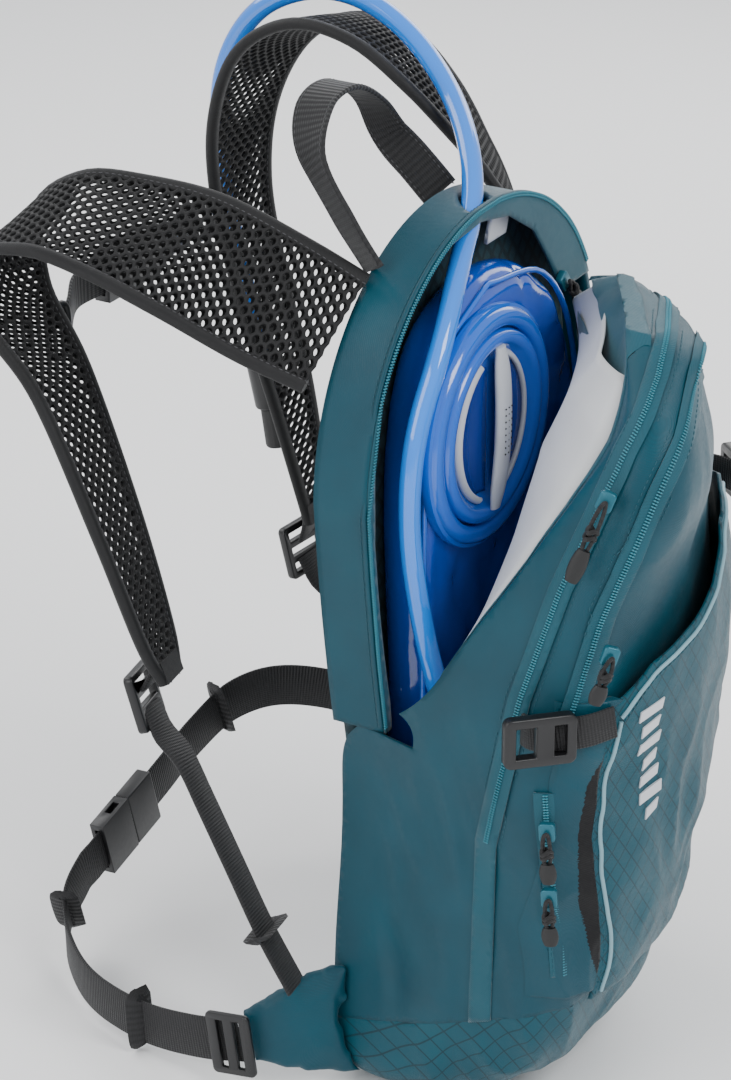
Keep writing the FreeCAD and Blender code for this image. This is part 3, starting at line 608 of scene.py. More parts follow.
def ribbed(name, colour, pitch):
    """Woven webbing on the strap's own map: close ribs across it and fine threads along, with painted shade
    in the grooves and painted highlight on the rib tops.
    """
    made, tree, shader, place = finish_of(name, colour, 0.6, Sheen_Weight=0.06, Specular_IOR_Level=0.3)
    uv = tree.nodes.new("ShaderNodeUVMap")
    uv.uv_map = "cloth"
    u, v, _ = split(tree, uv.outputs[0])
    height = maths(tree, "MULTIPLY_ADD", waves(tree, u, 0.0012), 0.4, waves(tree, v, pitch))
    slow, fine = use(tree, MOTTLE, Place=place, Scale=40.0)
    # Colour follows the rib height: painted shade in the grooves, painted highlight on the rib tops.
    tone = mixed(tree, maths(tree, "MULTIPLY_ADD", height, 0.3, 0.5), tuple(c * 0.45 for c in colour),
                 tuple(c * 1.5 for c in colour))
    # Random lighter patches for wear, laid over the painted rib shade and highlight.
    worn_and_rib_shade = mixed(tree, maths(tree, "MULTIPLY", slow, 0.4), tone, tuple(c * 1.3 for c in colour))
    surface(tree, shader, worn_and_rib_shade, fine, 0.6, 0.2, height, 0.5, 0.0003)
    return made


TEAL_DARK, TEAL = (0.0, 0.036, 0.058), (0.0, 0.076, 0.112)
SHELL = cloth("shell_fabric", TEAL_DARK, TEAL, 0.0007, 0.42, 0.05)
RIPSTOP = cloth("ripstop_fabric", (0.0, 0.047, 0.072), (0.0, 0.088, 0.124), 0.0007, 0.42, 0.04,
                (0.0098, 0.0125, 0.045))
LINER = cloth("liner_fabric", (0.6, 0.61, 0.62), (0.76, 0.77, 0.78), 0.0006, 0.5, 0.1)
BINDING = cloth("black_binding", (0.006, 0.006, 0.0065), (0.013, 0.013, 0.014), 0.0008, 0.55, 0.08)
GUSSET = cloth("stretch_mesh", (0.003, 0.003, 0.004), (0.009, 0.009, 0.01), 0.001, 0.75, 0.1)
TAPE = cloth("zip_tape", (0.004, 0.055, 0.08), (0.01, 0.1, 0.14), 0.0011, 0.6, 0.2)
NET = cloth("strap_mesh", (0.007, 0.007, 0.0075), (0.016, 0.016, 0.017), 0.0011, 0.65, 0.06)
BACK_MESH = cloth("back_mesh", (0.006, 0.03, 0.04), (0.014, 0.06, 0.08), 0.0016, 0.8, 0.2,
    (0.011, 0.0135, 0.15))
WEBBING = ribbed("webbing", (0.015, 0.015, 0.016), 0.0017)
ELASTIC = ribbed("elastic", (0.012, 0.012, 0.013), 0.0034)
PLASTIC = moulded("black_plastic", (0.008, 0.008, 0.009), 0.36)
RUBBER = moulded("grip_rubber", (0.008, 0.008, 0.0085), 0.55)
GRIP = moulded("pale_grip", (0.55, 0.57, 0.6), 0.42)
TEETH = moulded("zip_teeth", (0.03, 0.19, 0.25), 0.35, 60)
ZIP_METAL = moulded("zip_metal", (0.02, 0.13, 0.18), 0.32, 45, Metallic=0.4)
BLUE = moulded("blue_plastic", (0.004, 0.13, 0.66), 0.14, 9, Coat_Weight=0.8, Coat_Roughness=0.05)
# A darker copy of the blue plastic, used as painted shade in the cap's hollows.
BLUE_WELL_SHADE = moulded("blue_well_painted_shade", (0.002, 0.035, 0.27), 0.16, 9, Coat_Weight=0.8, Coat_Roughness=0.05)
FILM = moulded("reservoir_film", (0.003, 0.075, 0.5), 0.16, 12, 0.0006, Coat_Weight=1.0, Coat_Roughness=0.05)
HOSE = moulded("hose_tube", (0.008, 0.22, 0.85), 0.12, 9, Coat_Weight=1.0, Coat_Roughness=0.04)
SILVER = moulded("silver_print", (0.6, 0.62, 0.65), 0.35, 45)
PALE = moulded("reflective_piping", (0.2, 0.36, 0.42), 0.4, 45)
LABEL = cloth("white_label", (0.7, 0.7, 0.7), (0.85, 0.85, 0.85), 0.0006, 0.6, 0.1)
THREAD = moulded("sewing_thread", (0.006, 0.075, 0.105), 0.6, 45)
DARK_THREAD = moulded("dark_thread", (0.05, 0.05, 0.055), 0.6, 45)


# ---------- camera and light

def aim(thing, target):
    thing.rotation_euler = (target - thing.location).to_track_quat("-Z", "Y").to_euler()


AIM_POINT = mm((-7.0, 34.3, 23.8))
VIEW_FROM = Vector((-0.785, -0.453, 0.4226)).normalized()
VIEW_DISTANCE = 2.0
FRAME_HEIGHT = 0.5562
lens = bpy.data.cameras.new("camera")
lens.lens = 36 * VIEW_DISTANCE / FRAME_HEIGHT
lens.sensor_width = 36
lens.clip_start = 0.05
camera = linked("camera", lens)
camera.location = AIM_POINT + VIEW_FROM * VIEW_DISTANCE
aim(camera, AIM_POINT)
scene.camera = camera


def soft_light(name, spot, size, power):
    data = bpy.data.lights.new(name, "AREA")
    data.energy = power
    data.size = size
    lamp = linked(name, data)
    lamp.location = spot
    aim(lamp, Vector((0, 0, 0)))


soft_light("key_light", (-0.4, -1.5, 1.5), 0.9, 26)
soft_light("left_light", (-1.7, 0.5, 0.9), 1.2, 17)
soft_light("right_light", (1.5, 0.3, 0.9), 1.2, 14)
soft_light("back_light", (0.2, 1.7, 1.2), 1.2, 14)
world = bpy.data.worlds.new("studio")
world.use_nodes = True
sky = world.node_tree.nodes["Background"]
sky.inputs[0].default_value = (0.95, 0.97, 1.0, 1)
sky.inputs[1].default_value = 0.85
scene.world = world
floor_mesh = bpy.data.meshes.new("floor")
low = cad_box[0].z - 0.0045
floor_mesh.from_pydata([(-6, -6, low), (6, -6, low), (6, 6, low), (-6, 6, low)], [], [(0, 1, 2, 3)])
floor_mesh.materials.append(finish_of("pale_floor", (0.93, 0.93, 0.93), 0.8)[0])
floor = linked("floor", floor_mesh)


# ---------- drinking hose

HOSE_ROUTE = [
    (-52, -52, -92), (-62, -52, -56), (-80, -50, -12), (-93, -46, 36), (-99, -42, 86), (-95, -43, 132),
    (-72, -46, 172), (-36, -34, 196), (2, -22, 214), (34, -2, 233), (62, 26, 251), (76, 58, 272),
    (82, 92, 284),
    (86, 126, 280), (88, 158, 262), (90, 179, 226), (93, 182, 182), (97, 179, 140), (102, 172, 98),
    (106, 165, 56)]
HOSE_RADIUS = 5.5
hose_line = bpy.data.curves.new("hose_route", "CURVE")
hose_line.dimensions = "3D"
hose_line.resolution_u = 10
spline = hose_line.splines.new("NURBS")
spline.points.add(len(HOSE_ROUTE) - 1)
for control, spot in zip(spline.points, HOSE_ROUTE):
    control.co = (*mm(spot), 1)
spline.order_u = 3
spline.use_endpoint_u = True
hose_line.bevel_depth = HOSE_RADIUS * MM
hose_line.bevel_resolution = 6
hose_line.use_fill_caps = True
hose_line.materials.append(HOSE)
hose = place("drink_hose_tube", hose_line)
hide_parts("drink_hose")

valve_body = moulded_part("bite_valve_body", PLASTIC, 1.2)
valve_tip = moulded_part("bite_valve_tip", RUBBER, 1.5)
valve_lever = moulded_part("shutoff_lever", RUBBER, 0.8)


# ---------- sewn shells, liners and pads

def film_dents(p):
    """Creases where the full bag buckles at its sides and below the filler."""
    q = p / MM
    dent = 1 - 2 * abs(waver((q.x / 22, 0.3, q.z / 55), (5, 2, 9)))
    swell = waver((q.x / 40, 1.7, q.z / 60))
    front = min(1.0, max(0.0, (-q.y - 20) / 14))
    off_ring = min(1.0, max(0.0, (math.hypot(q.x + 27, q.z - 113) - 64) / 14))
    return Vector((0, 1.6 * max(0.0, dent) * front * off_ring + 0.8 * swell * front * off_ring, 0)) * MM


for node in ("rear_shell", "front_shell", "pocket_shell"):
    cloth_part(node, SHELL)
for node in ("base_panel", "stash_panel"):
    cloth_part(node, RIPSTOP)
for node in ("pocket_divider", "reservoir_hanger"):
    cloth_part(node, LINER)
cloth_part("stash_gusset_left", GUSSET, 2.0)
cloth_part("stash_gusset_right", GUSSET)


def along_table(table, z):
    """A value read between the heights of a table."""
    z = min(max(z, table[0][0]), table[-1][0])
    for (z0, a), (z1, b) in zip(table, table[1:]):
        if z <= z1:
            return a + (b - a) * (z - z0) / (z1 - z0)
    return table[-1][1]


# The left side's dark stretch cloth shows only as a wedge beside the pocket; behind it is shell cloth.
WEDGE_START = [(-160, 86), (-130, 79), (-95, 71), (-54, 69.5), (-26, 73), (-12, 80), (20, 90)]
gusset = bpy.data.objects["stash_gusset_left_cloth"]
gusset.data.materials.append(SHELL)
for face in gusset.data.polygons:
    spot = face.center / MM
    face.material_index = 1 if 0.5 * spot.x - 0.866 * spot.y < along_table(WEDGE_START, spot.z) else 0
for node in ("reservoir_zip_rear", "reservoir_zip_front", "main_zip", "pocket_zip", "side_zip"):
    cloth_part(node, TAPE)
cloth_part("back_panel", BACK_MESH, 8, None)
for node in ("back_pad_spine", "back_pads_left", "back_pads_right"):
    puffed(node, BACK_MESH, 3.0, 3.5)
for node in ("hip_wing_left", "hip_wing_right"):
    puffed(node, SHELL, 3.0, 3.0)
cloth_part("reservoir_bag", FILM, 5.0, film_dents)


# Each zip wall: height, then how far forward it stands at a left and a right place.
ZIP_ROWS = [(-165, (-140, -97), (140, -48)), (-66, (-140, -100), (140, -52)), (17, (-140, -119), (140, -48)),
            (77, (-140, -140), (140, -48)), (145, (-120, -165), (120, -58)), (173, (-100, -172), (80, -88)),
            (230, (-100, -190), (80, -110))]
POCKET_ZIP_ROWS = [(0, (-140, -141), (140, -80)), (65, (-140, -160), (140, -84)),
    (125, (-130, -184), (120, -92)),
                   (153, (-110, -190), (100, -104)), (230, (-100, -200), (80, -140))]
SLEEVE_ROWS = [(-216, (-99, -48), (94, -48)), (-165, (-104, -58), (100, -56)),
    (-110, (-104, -62), (101, -60)),
               (-45, (-107, -62), (107, -58)), (-10, (-110, -62), (110, -54)), (30, (-108, -78), (110, -44)),
               (75, (-102, -106), (109, -38)), (115, (-91, -129), (99, -38)), (145, (-81, -143), (76, -42)),
               (166, (-62, -142), (50, -68)), (192, (-36, -130), (26, -92))]
SIDE_ZIP_ROWS = [(-150, (-140, -134), (140, -134)), (-30, (-140, -127), (140, -127)),
    (0, (-140, -126), (140, -126))]


def depth_at(rows, x, z):
    """How far forward a zip's wall stands at a place, between its left and right edges."""
    z = min(max(z, rows[0][0]), rows[-1][0])
    for (z0, a0, b0), (z1, a1, b1) in zip(rows, rows[1:]):
        if z <= z1:
            t = (z - z0) / (z1 - z0)
            left = [a0[i] * (1 - t) + a1[i] * t for i in (0, 1)]
            right = [b0[i] * (1 - t) + b1[i] * t for i in (0, 1)]
            u = (x - left[0]) / (right[0] - left[0])
            return left[1] * (1 - u) + right[1] * u
    return rows[-1][1][1]


# ---------- reservoir filler, cap and outlet

RING_CENTRE = (-27, -43, 113)
OUT = (0, -1, 0)
ring = lathe("filler_ring_moulded", [(50.2, 0.2), (61.6, 0.2), (62, 2.2), (61.4, 4.6), (59.6, 5.2),
    (58.6, 7.2),
             (56.6, 8.2), (53.4, 8.2), (51.2, 7.4), (50.2, 5.6)], RING_CENTRE, OUT, BLUE)
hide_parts("filler_ring")
cap = lathe("filler_cap_moulded", [(0, 0.9), (49.0, 0.9), (49.3, 5.5), (48.2, 8.4), (46.4, 9.3), (43.6, 9.2),
            (41.4, 7.8), (39.6, 4.8), (35, 3.4), (18, 2.9), (0, 2.8)], RING_CENTRE, OUT, BLUE, "cap")
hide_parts("filler_cap")


LINING_ROWS, LINING_COLS = 80, 40
LINING_FOOT, LINING_TALL = -165, 333


def front_lining():
    """The white lining of the open front, gathered into a soft lobe behind the zip's edge."""
    rows, swell = SLEEVE_ROWS, [(-60, 0), (30, 1), (75, 9), (120, 20), (150, 19), (172, 8), (188, 0)]
    grid = []
    for k in range(LINING_ROWS + 1):
        z = LINING_FOOT + LINING_TALL * k / LINING_ROWS
        x0, x1 = [along_table([(row[0], row[edge][0]) for row in rows], z) for edge in (1, 2)]
        line = []
        for j in range(LINING_COLS + 1):
            u = j / LINING_COLS
            x = x0 + 3.5 + (x1 - x0 - 7) * u
            rise = math.sin(min(u / 0.2, 1) * math.pi / 2) ** 0.6
            lobe = rise * max(0.0, 1 - max(0.0, u - 0.2) / 0.6) ** 1.5
            fold = 1.5 * waver((x / 30, 4.4, z / 50))
            line.append(mm((x, depth_at(rows, x, z) + 2.5 + lobe * (along_table(swell, z) + fold), z)))
        grid.append(line)
    verts = [p for line in grid for p in line]
    piece = new_piece("front_lining_sheet", verts, grid_faces(LINING_ROWS, LINING_COLS), LINER)
    modify(piece, "cloth_wall", "SOLIDIFY", thickness=0.8 * MM)
    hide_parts("reservoir_divider")


def on_cap(x, z, out):
    return mm((RING_CENTRE[0] + x, RING_CENTRE[1] - out, RING_CENTRE[2] + z))


def cap_arc(side):
    turns = [math.radians(d) for d in range(-66, 67, 6)]
    return [on_cap(side * (37 * math.cos(t) - 3), 39 * math.sin(t), 5.6) for t in turns]


def grip_shape():
    points, profiles, frames = [], [], []
    for k in range(25):
        t = -1 + 2 * k / 24
        points.append(on_cap(1.5 * t, 42.5 * t, 12.4 - 3.2 * t * t))
        wide = 15.5 * max(0.25, (1 - abs(t) ** 5)) ** 0.5 * (0.82 + 0.18 * t * t)
        profiles.append(oval(wide, 6.5 - 2.4 * abs(t) ** 3, 16))
        frames.append((Vector((1, 0, 0)), Vector((0, -1, 0))))
    return points, frames, profiles


front_lining()


def cap_well(side):
    """A hollow between the grip and an arc of the cap, in a darker blue as painted shade."""
    verts, steps = [], range(-60, 61, 6)
    for degrees in steps:
        t = math.radians(degrees)
        z, far = 38 * math.sin(t), 36 * math.cos(t) - 3
        for j in range(7):
            u = j / 6
            x = 5 + (far - 5) * u
            verts.append(on_cap(side * x, z, 5.4 - 1.8 * math.sin(math.pi * u)))
    name = "cap_well_" + ("left" if side < 0 else "right")
    piece = new_piece(name, verts, grid_faces(len(steps) - 1, 6), BLUE_WELL_SHADE, "cap")
    if sum(f.normal.y for f in piece.data.polygons) > 0:
        piece.data.flip_normals()
    modify(piece, "well_wall", "SOLIDIFY", thickness=0.9 * MM)


cap_well(-1)
cap_well(1)
for side, label in ((-1, "left"), (1, "right")):
    rope("cap_arc_" + label, cap_arc(side), 1.5, GRIP, "cap", flat=1.6)
grip = loft("cap_grip_bar", *grip_shape(), GRIP, "cap")
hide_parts("cap_grip")
dots = [[(on_cap(x, -12 + 3 * k, 15.4), Vector(OUT)) for k in range(9)] for x in (-3, 0, 3)]
row_of("cap_grip_dots", dots, 3.0, (1.0, 1.0, 0.7), RUBBER, "cap")
moulded_part("reservoir_outlet", BLUE, 1.5)
rope("bag_seam", [mm(p) for p in smooth([Vector(p) for p in [
    (-60, -41.6, 168), (-79, -41.6, 122), (-82, -41.6, 40), (-80, -41.6, -80), (-73, -41.6, -163),
    (-30, -41.6, -189),
    (20, -41.6, -189), (66, -41.6, -163), (78, -41.6, -80), (82, -41.6, 40), (72, -41.6, 124),
    (38, -41.6, 171), (-20, -41.6, 184)]], 6)], 1.6, BLUE, ROOT, True)
clip_wire = [on_cap(27 + 7 * math.cos(a), 62 + 10 * math.sin(a), -12) for a in circle(24)]
rope("hang_clip", clip_wire, 1.5, BLUE, ROOT, True)


# ---------- zips, seams and stitches

def tree_of(*names):
    """Nearest-point trees of finished cloth pieces, as one."""
    verts, faces = [], []
    for name in names:
        data = bpy.data.objects[name].data
        first = len(verts)
        verts += [v.co.copy() for v in data.vertices]
        faces += [[first + i for i in f.vertices] for f in data.polygons]
    return BVHTree.FromPolygons(verts, faces)


WALK_FROM, WALK_STEPS = 250, 230
LOWEST_ZIP = -200


def traced(tree, rows, start, end, centre, near=1.0):
    """The line where a zip's wall meets the cloth, walked round a centre, as (point, outward) pairs."""
    line = []
    for angle in range(start * 2, end * 2 + (1 if end > start else -1), 2 if end > start else -2):
        turn = math.radians(angle / 2)
        for k in range(WALK_STEPS):
            reach = WALK_FROM - k
            x = centre[0] + reach * math.cos(turn)
            z = centre[1] + reach * math.sin(turn)
            if z < LOWEST_ZIP:
                continue
            spot = mm((x, depth_at(rows, x, z), z))
            found, normal, _, gap = tree.find_nearest(spot, 0.004)
            if found and gap < near * MM:
                if not line or (found - line[-1][0]).length < 0.03:
                    line.append((found, normal))
                break
    return evened(line)


def ray_hit(tree, start, way, lift=0.0):
    """Where a ray meets the cloth, set off it by a lift in millimetres, and which way it faces there."""
    spot, normal, _, _ = tree.ray_cast(start, way)
    return (spot + normal * (lift * MM), normal) if spot else None


def evened(line):
    """A traced line with its small steps and the swing of its outward directions smoothed away."""
    out = []
    for i in range(len(line)):
        near = line[max(0, i - 3):i + 4]
        ways = [n if n.dot(line[i][1]) > 0 else -n for _, n in near]
        spots = line[max(0, i - 1):i + 2]
        out.append((sum((p for p, _ in spots), Vector()) / len(spots), sum(ways, Vector()).normalized()))
    return out


def zip_teeth(name, line):
    """Two rows of teeth either side of a zip's line."""
    rows = []
    runs = tangents([p for p, _ in line])
    for side in (-1, 1):
        rows.append([(p + run.cross(out).normalized() * (side * TEETH_APART * MM / 2)
                      + out * (0.4 * MM), out) for (p, out), run in zip(line, runs)])
    return row_of(name, rows, TOOTH_PITCH, TOOTH, TEETH)


def seam(name, line, shift, tree):
    """One row of stitches beside a line, lying on the cloth of a tree."""
    runs = tangents([p for p, _ in line])
    rows, row = [], []
    for (p, out), run in zip(line, runs):
        spot, normal, _, gap = tree.find_nearest(p + run.cross(out).normalized() * (shift * MM), 0.006)
        if spot and gap < 2.5 * MM and normal.dot(out) > 0.75:
            row.append((spot + normal * (0.15 * MM), normal))
        elif row:
            rows.append(row)
            row = []
    rows = [r for r in rows + [row] if len(r) > 3]
    return row_of(name, rows, SEAM_PITCH, SEAM_STITCH, THREAD, ROOT, UNEVEN) if rows else None


front_tree = tree_of("front_shell_cloth", "main_zip_cloth", "pocket_shell_cloth", "pocket_zip_cloth",
                     "side_zip_cloth")
main_line = traced(tree_of("main_zip_cloth"), ZIP_ROWS, 222, -42, (0, 40))
pocket_line = traced(tree_of("pocket_zip_cloth"), POCKET_ZIP_ROWS, 222, -42, (0, 60))
for name, line in (("main", main_line), ("pocket", pocket_line)):
    if len(line) > 3:
        zip_teeth(name + "_zip_teeth", line)


# ---------- net straps with bound edges

WIDE = [66, 73, 77, 77, 74, 70, 60, 50, 44, 36, 22]
LEFT_STRAP = Ribbon(
    [(-93, 1, 175), (-98, 34, 188), (-103, 75, 204), (-108, 112, 213), (-114, 146, 216), (-119, 172, 202),
     (-124, 168, 172), (-124, 140, 133), (-123, 110, 62), (-121, 90, 4), (-120, 82, -18)],
    [(0.64, 0, 0.77), (0.72, 0.1, 0.66), (0.83, 0.12, 0.54), (0.92, 0.12, 0.36), (0.96, 0.12, 0.24),
     (0.98, 0.05, 0.1), (1, -0.05, 0), (1, 0, -0.03), (1, 0.05, -0.06), (1, 0.1, -0.1), (1, 0.15, -0.1)],
     WIDE)
RIGHT_STRAP = Ribbon(
    [(93, 1, 175), (90, 22, 208), (86, 48, 240), (84, 78, 262), (84, 112, 265), (86, 144, 246),
    (89, 164, 206),
     (92, 168, 160), (98, 161, 108), (108, 148, 40), (118, 137, -36)],
    [(0.64, 0, -0.77), (0.78, 0, -0.6), (0.92, 0, -0.38), (0.97, 0, -0.24), (0.98, -0.05, -0.2),
    (0.99, -0.1, -0.1),
     (1, -0.1, 0), (1, -0.1, 0.03), (1, -0.12, 0.05), (1, -0.15, 0.08), (1, -0.15, 0.1)], WIDE)
CELL_WIDE, CELL_LONG = 6.4, 6.0


def net_layer(name, ribbon, lift, shift):
    """One layer of open net: threads round staggered six-sided holes."""
    verts, faces, known = [], [], {}
    count = int(ribbon.length / MM / CELL_LONG)

    def corner(i, j):
        if (i, j) not in known:
            s = min(max((i / 3 + shift) * CELL_LONG * MM, 0.0), ribbon.length)
            _, side, up, wide = ribbon.spot(s)
            limit = wide / 2 - 3
            known[(i, j)] = len(verts)
            across = min(max(j / 2 * CELL_WIDE, -limit), limit)
            verts.append(ribbon.at(s, across, lift * (1 - 0.35 * (across / max(limit, 1)) ** 2)))
        return known[(i, j)]

    for row in range(count * 3 // 2 - 1):
        base = row * 2
        for k in range(-7, 8):
            j = 2 * k + row % 2
            wide = ribbon.spot(min(base / 3 * CELL_LONG * MM, ribbon.length))[3]
            if abs(j / 2 * CELL_WIDE) > wide / 2 + 1:
                continue
            ring = [corner(base, j), corner(base + 1, j + 1), corner(base + 2, j + 1), corner(base + 3, j),
                    corner(base + 2, j - 1), corner(base + 1, j - 1)]
            faces.append(ring)
    piece = new_piece(name, verts, faces, NET)
    clean(piece, 1e-5)
    modify(piece, "threads", "WIREFRAME", thickness=2.7 * MM, use_even_offset=False, use_boundary=True)
    data = baked(piece)
    data.shade_smooth()
    piece = place(name, data)
    modify(piece, "rounder", "SUBSURF", levels=1, render_levels=1)
    return piece


def bound_edges(label, ribbon):
    for side, way in (("inner", 1), ("outer", -1)):
        marks = even(0.0, ribbon.length, 0.005)
        spots = [ribbon.spot(s) for s in marks]
        points = [ribbon.at(s, way * (spot[3] / 2 - 3.4), 0) for s, spot in zip(marks, spots)]
        loft("strap_%s_binding_%s" % (label, side), points, [(a, b) for _, a, b, _ in spots],
             [oval(7.6, 6.4, 14)] * len(marks), BINDING)
        for level, name in ((3.15, "face"), (-3.15, "back")):
            line = [(ribbon.at(s, way * (spot[3] / 2 - 5.4), level * 0.86),
                spot[2] * (1 if level > 0 else -1))
                    for s, spot in zip(marks, spots)]
            row_of("strap_%s_stitches_%s_%s" % (label, side, name), [line], EDGE_PITCH, EDGE_STITCH,
                   DARK_THREAD, ROOT, UNEVEN)


for label, ribbon in (("left", LEFT_STRAP), ("right", RIGHT_STRAP)):
    outer = net_layer("strap_%s_net_outer" % label, ribbon, 2.2, 0.0)
    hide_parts("shoulder_strap_" + label)
    net_layer("strap_%s_net_inner" % label, ribbon, -2.2, 0.35)
    bound_edges(label, ribbon)
    webbing("strap_%s_tip" % label, ribbon, 21, 6.6, BINDING, ROOT, ribbon.length - 0.012)


# ---------- webbing

HANDLE = Ribbon([(-64, -6, 196), (-66, 12, 222), (-62, 32, 250), (-42, 42, 268), (-14, 44, 270),
    (10, 42, 256),
                 (20, 36, 236), (22, 22, 222), (22, 8, 209)],
                [(0.4, 0.9, 0)] * 3 + [(0, 1, 0)] * 3 + [(-0.3, 0.95, 0)] * 3)
handle = webbing("haul_handle_webbing", HANDLE, 20, 2.6, ELASTIC, "handle", 0.004)
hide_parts("haul_handle")
for way in (-1, 1):
    marks = even(0.006, HANDLE.length, 0.004)
    lines = [[(HANDLE.at(s, way * 8, lift), HANDLE.spot(s)[2] * lift) for s in marks]
             for lift in (1.35, -1.35)]
    row_of("handle_stitches_%d" % (way + 2), lines, EDGE_PITCH, (0.5, 2.3, 0.4), DARK_THREAD, "handle",
           UNEVEN)



def keeper(name, ribbon, share, outline, flat):
    """An elastic loop round a strap, from (across, up) points."""
    at = ribbon.length * share
    loop = [ribbon.at(at, a, u) for a, u in outline]
    rope(name, smooth(loop, 3), 0.9, ELASTIC, ROOT, True, 8, flat)


def strap_for(node, ribbon, width, material):
    strap = webbing(node + "_strap", ribbon, width, 2.0, material)
    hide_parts(node)


LEFT_WEB = Ribbon([(-122.5, 93, -34), (-123, 89, -41), (-124, 84, -48), (-127, 70, -58), (-128, 58, -78),
    (-129, 40, -110), (-129, 23, -142),
                   (-127, 6, -172)], [(1, 0.2, 0)] * 8)
RIGHT_WEB = Ribbon([(119.5, 144, -60), (120, 140, -67), (120, 136, -74), (122, 124, -84), (124, 102, -100),
    (128, 66, -126), (129, 30, -150),
                    (127, 6, -172)], [(1, -0.2, 0)] * 8)
for label, ribbon in (("left", LEFT_WEB), ("right", RIGHT_WEB)):
    strap_for("adjust_webbing_" + label, ribbon, 20, WEBBING)
    keeper("adjust_keeper_" + label, ribbon, 0.8, ((-11.5, -1), (-11.5, 3.4), (-6, 4.6), (6, 4.6),
        (11.5, 3.4),
           (11.5, -1), (11.5, -4.2), (-11.5, -4.2)), 5.0)

TABS = {"left": [(-121, 87, -8), (-121, 90, -16), (-122, 94, -24)],
        "right": [(116, 141, -26), (118, 142, -38), (119, 145, -49)]}
for label, route in TABS.items():
    webbing("lock_tab_" + label, Ribbon(route, [(1, 0.15, -0.1)] * 3), 19, 2.2, WEBBING)

BELT_MIDDLE = Vector((-15, 182, -178))
BELT_LINE = Vector((0.97, 0.03, 0.235)).normalized()
LEFT_BELT = [(-141, 31, -204), (-141, 58, -210), (-136, 94, -215), (-122, 134, -216), (-102, 162, -211),
             (-82, 177, -201)] + [tuple(BELT_MIDDLE - BELT_LINE * r) for r in (48, 36, 23.5)]
RIGHT_BELT = [tuple(BELT_MIDDLE + BELT_LINE * r) for r in (19, 44, 74)] + [
    (92, 178, -150), (118, 158, -147), (136, 120, -154), (141, 76, -172), (141, 31, -203)]
BELTS = {"left": Ribbon(LEFT_BELT, [(0, 0.05, 1)] * 9), "right": Ribbon(RIGHT_BELT, [(0, 0.05, 1)] * 8)}
for label, ribbon in BELTS.items():
    strap_for("belt_webbing_" + label, ribbon, 25, WEBBING)
    for k, share in enumerate((0.3, 0.78)):
        keeper("belt_keeper_%s_%d" % (label, k), ribbon, share, (
            (-13.6, 0), (-13, 2.6), (-6, 3.4), (6, 3.4), (13, 2.6), (13.6, 0), (13, -2.6), (-13, -2.6)), 6.0)

CHEST_LEFT = Ribbon([(-30, 176, 150), (-56, 176, 150), (-80, 164, 147), (-92, 160, 146)], [(0, 0, 1)] * 4)
CHEST_RIGHT = Ribbon([(13, 176, 150), (38, 176, 150), (56, 178, 152)], [(0, 0, 1)] * 3)
for label, ribbon in (("left", CHEST_LEFT), ("right", CHEST_RIGHT)):
    strap_for("sternum_webbing_" + label, ribbon, 20, ELASTIC)


def ring_of(name, centre, across, along, wide, tall, wire):
    """A wire loop with rounded corners."""
    a, b = Vector(across).normalized(), Vector(along).normalized()
    points = []
    for t in circle(28):
        c, d = math.cos(t), math.sin(t)
        points.append(mm(centre) + a * (math.copysign(abs(c) ** 0.6, c) * wide / 2 * MM)
                      + b * (math.copysign(abs(d) ** 0.6, d) * tall / 2 * MM))
    return rope(name, points, wire, PLASTIC, ROOT, True)


ring_of("strap_ring_left", (-122, 168, 150), (1, 0, 0), (0, 0.3, 1), 24, 18, 1.5)
ring_of("sternum_clip_left", (-97, 159, 146), (0.3, 0.2, 1), (1, -0.2, 0), 26, 14, 1.9)
ring_of("sternum_clip_right", (66, 177, 152), (0, 0, 1), (1, 0, 0), 26, 14, 1.9)

# A plain loop round the left strap.
label_at = LEFT_STRAP.length * 0.46
label_line = [LEFT_STRAP.at(label_at, a, 5.2 + 7.5 * math.cos(a / 34 * math.pi / 2))
              for a in range(-34, 35, 4)]
_, label_side, label_up, _ = LEFT_STRAP.spot(label_at)
label_run = label_side.cross(label_up)
for name, width, thick, finish in (("label_loop_edge", 19, 0.9, BINDING),
        ("label_loop_face", 14, 1.5, LABEL)):
    loft(name, label_line, [(label_run, t.cross(label_run)) for t in tangents(label_line)],
         [web_profile(width, thick)] * len(label_line), finish)


# ---------- moulded fittings

for node in ("ladderlock_left", "ladderlock_right", "belt_triglide_left", "belt_triglide_right",
             "belt_buckle_body", "belt_buckle_plug", "sternum_buckle_body", "sternum_buckle_plug",
             "helmet_hook_left", "helmet_hook_right"):
    moulded_part(node, PLASTIC, 0.9)


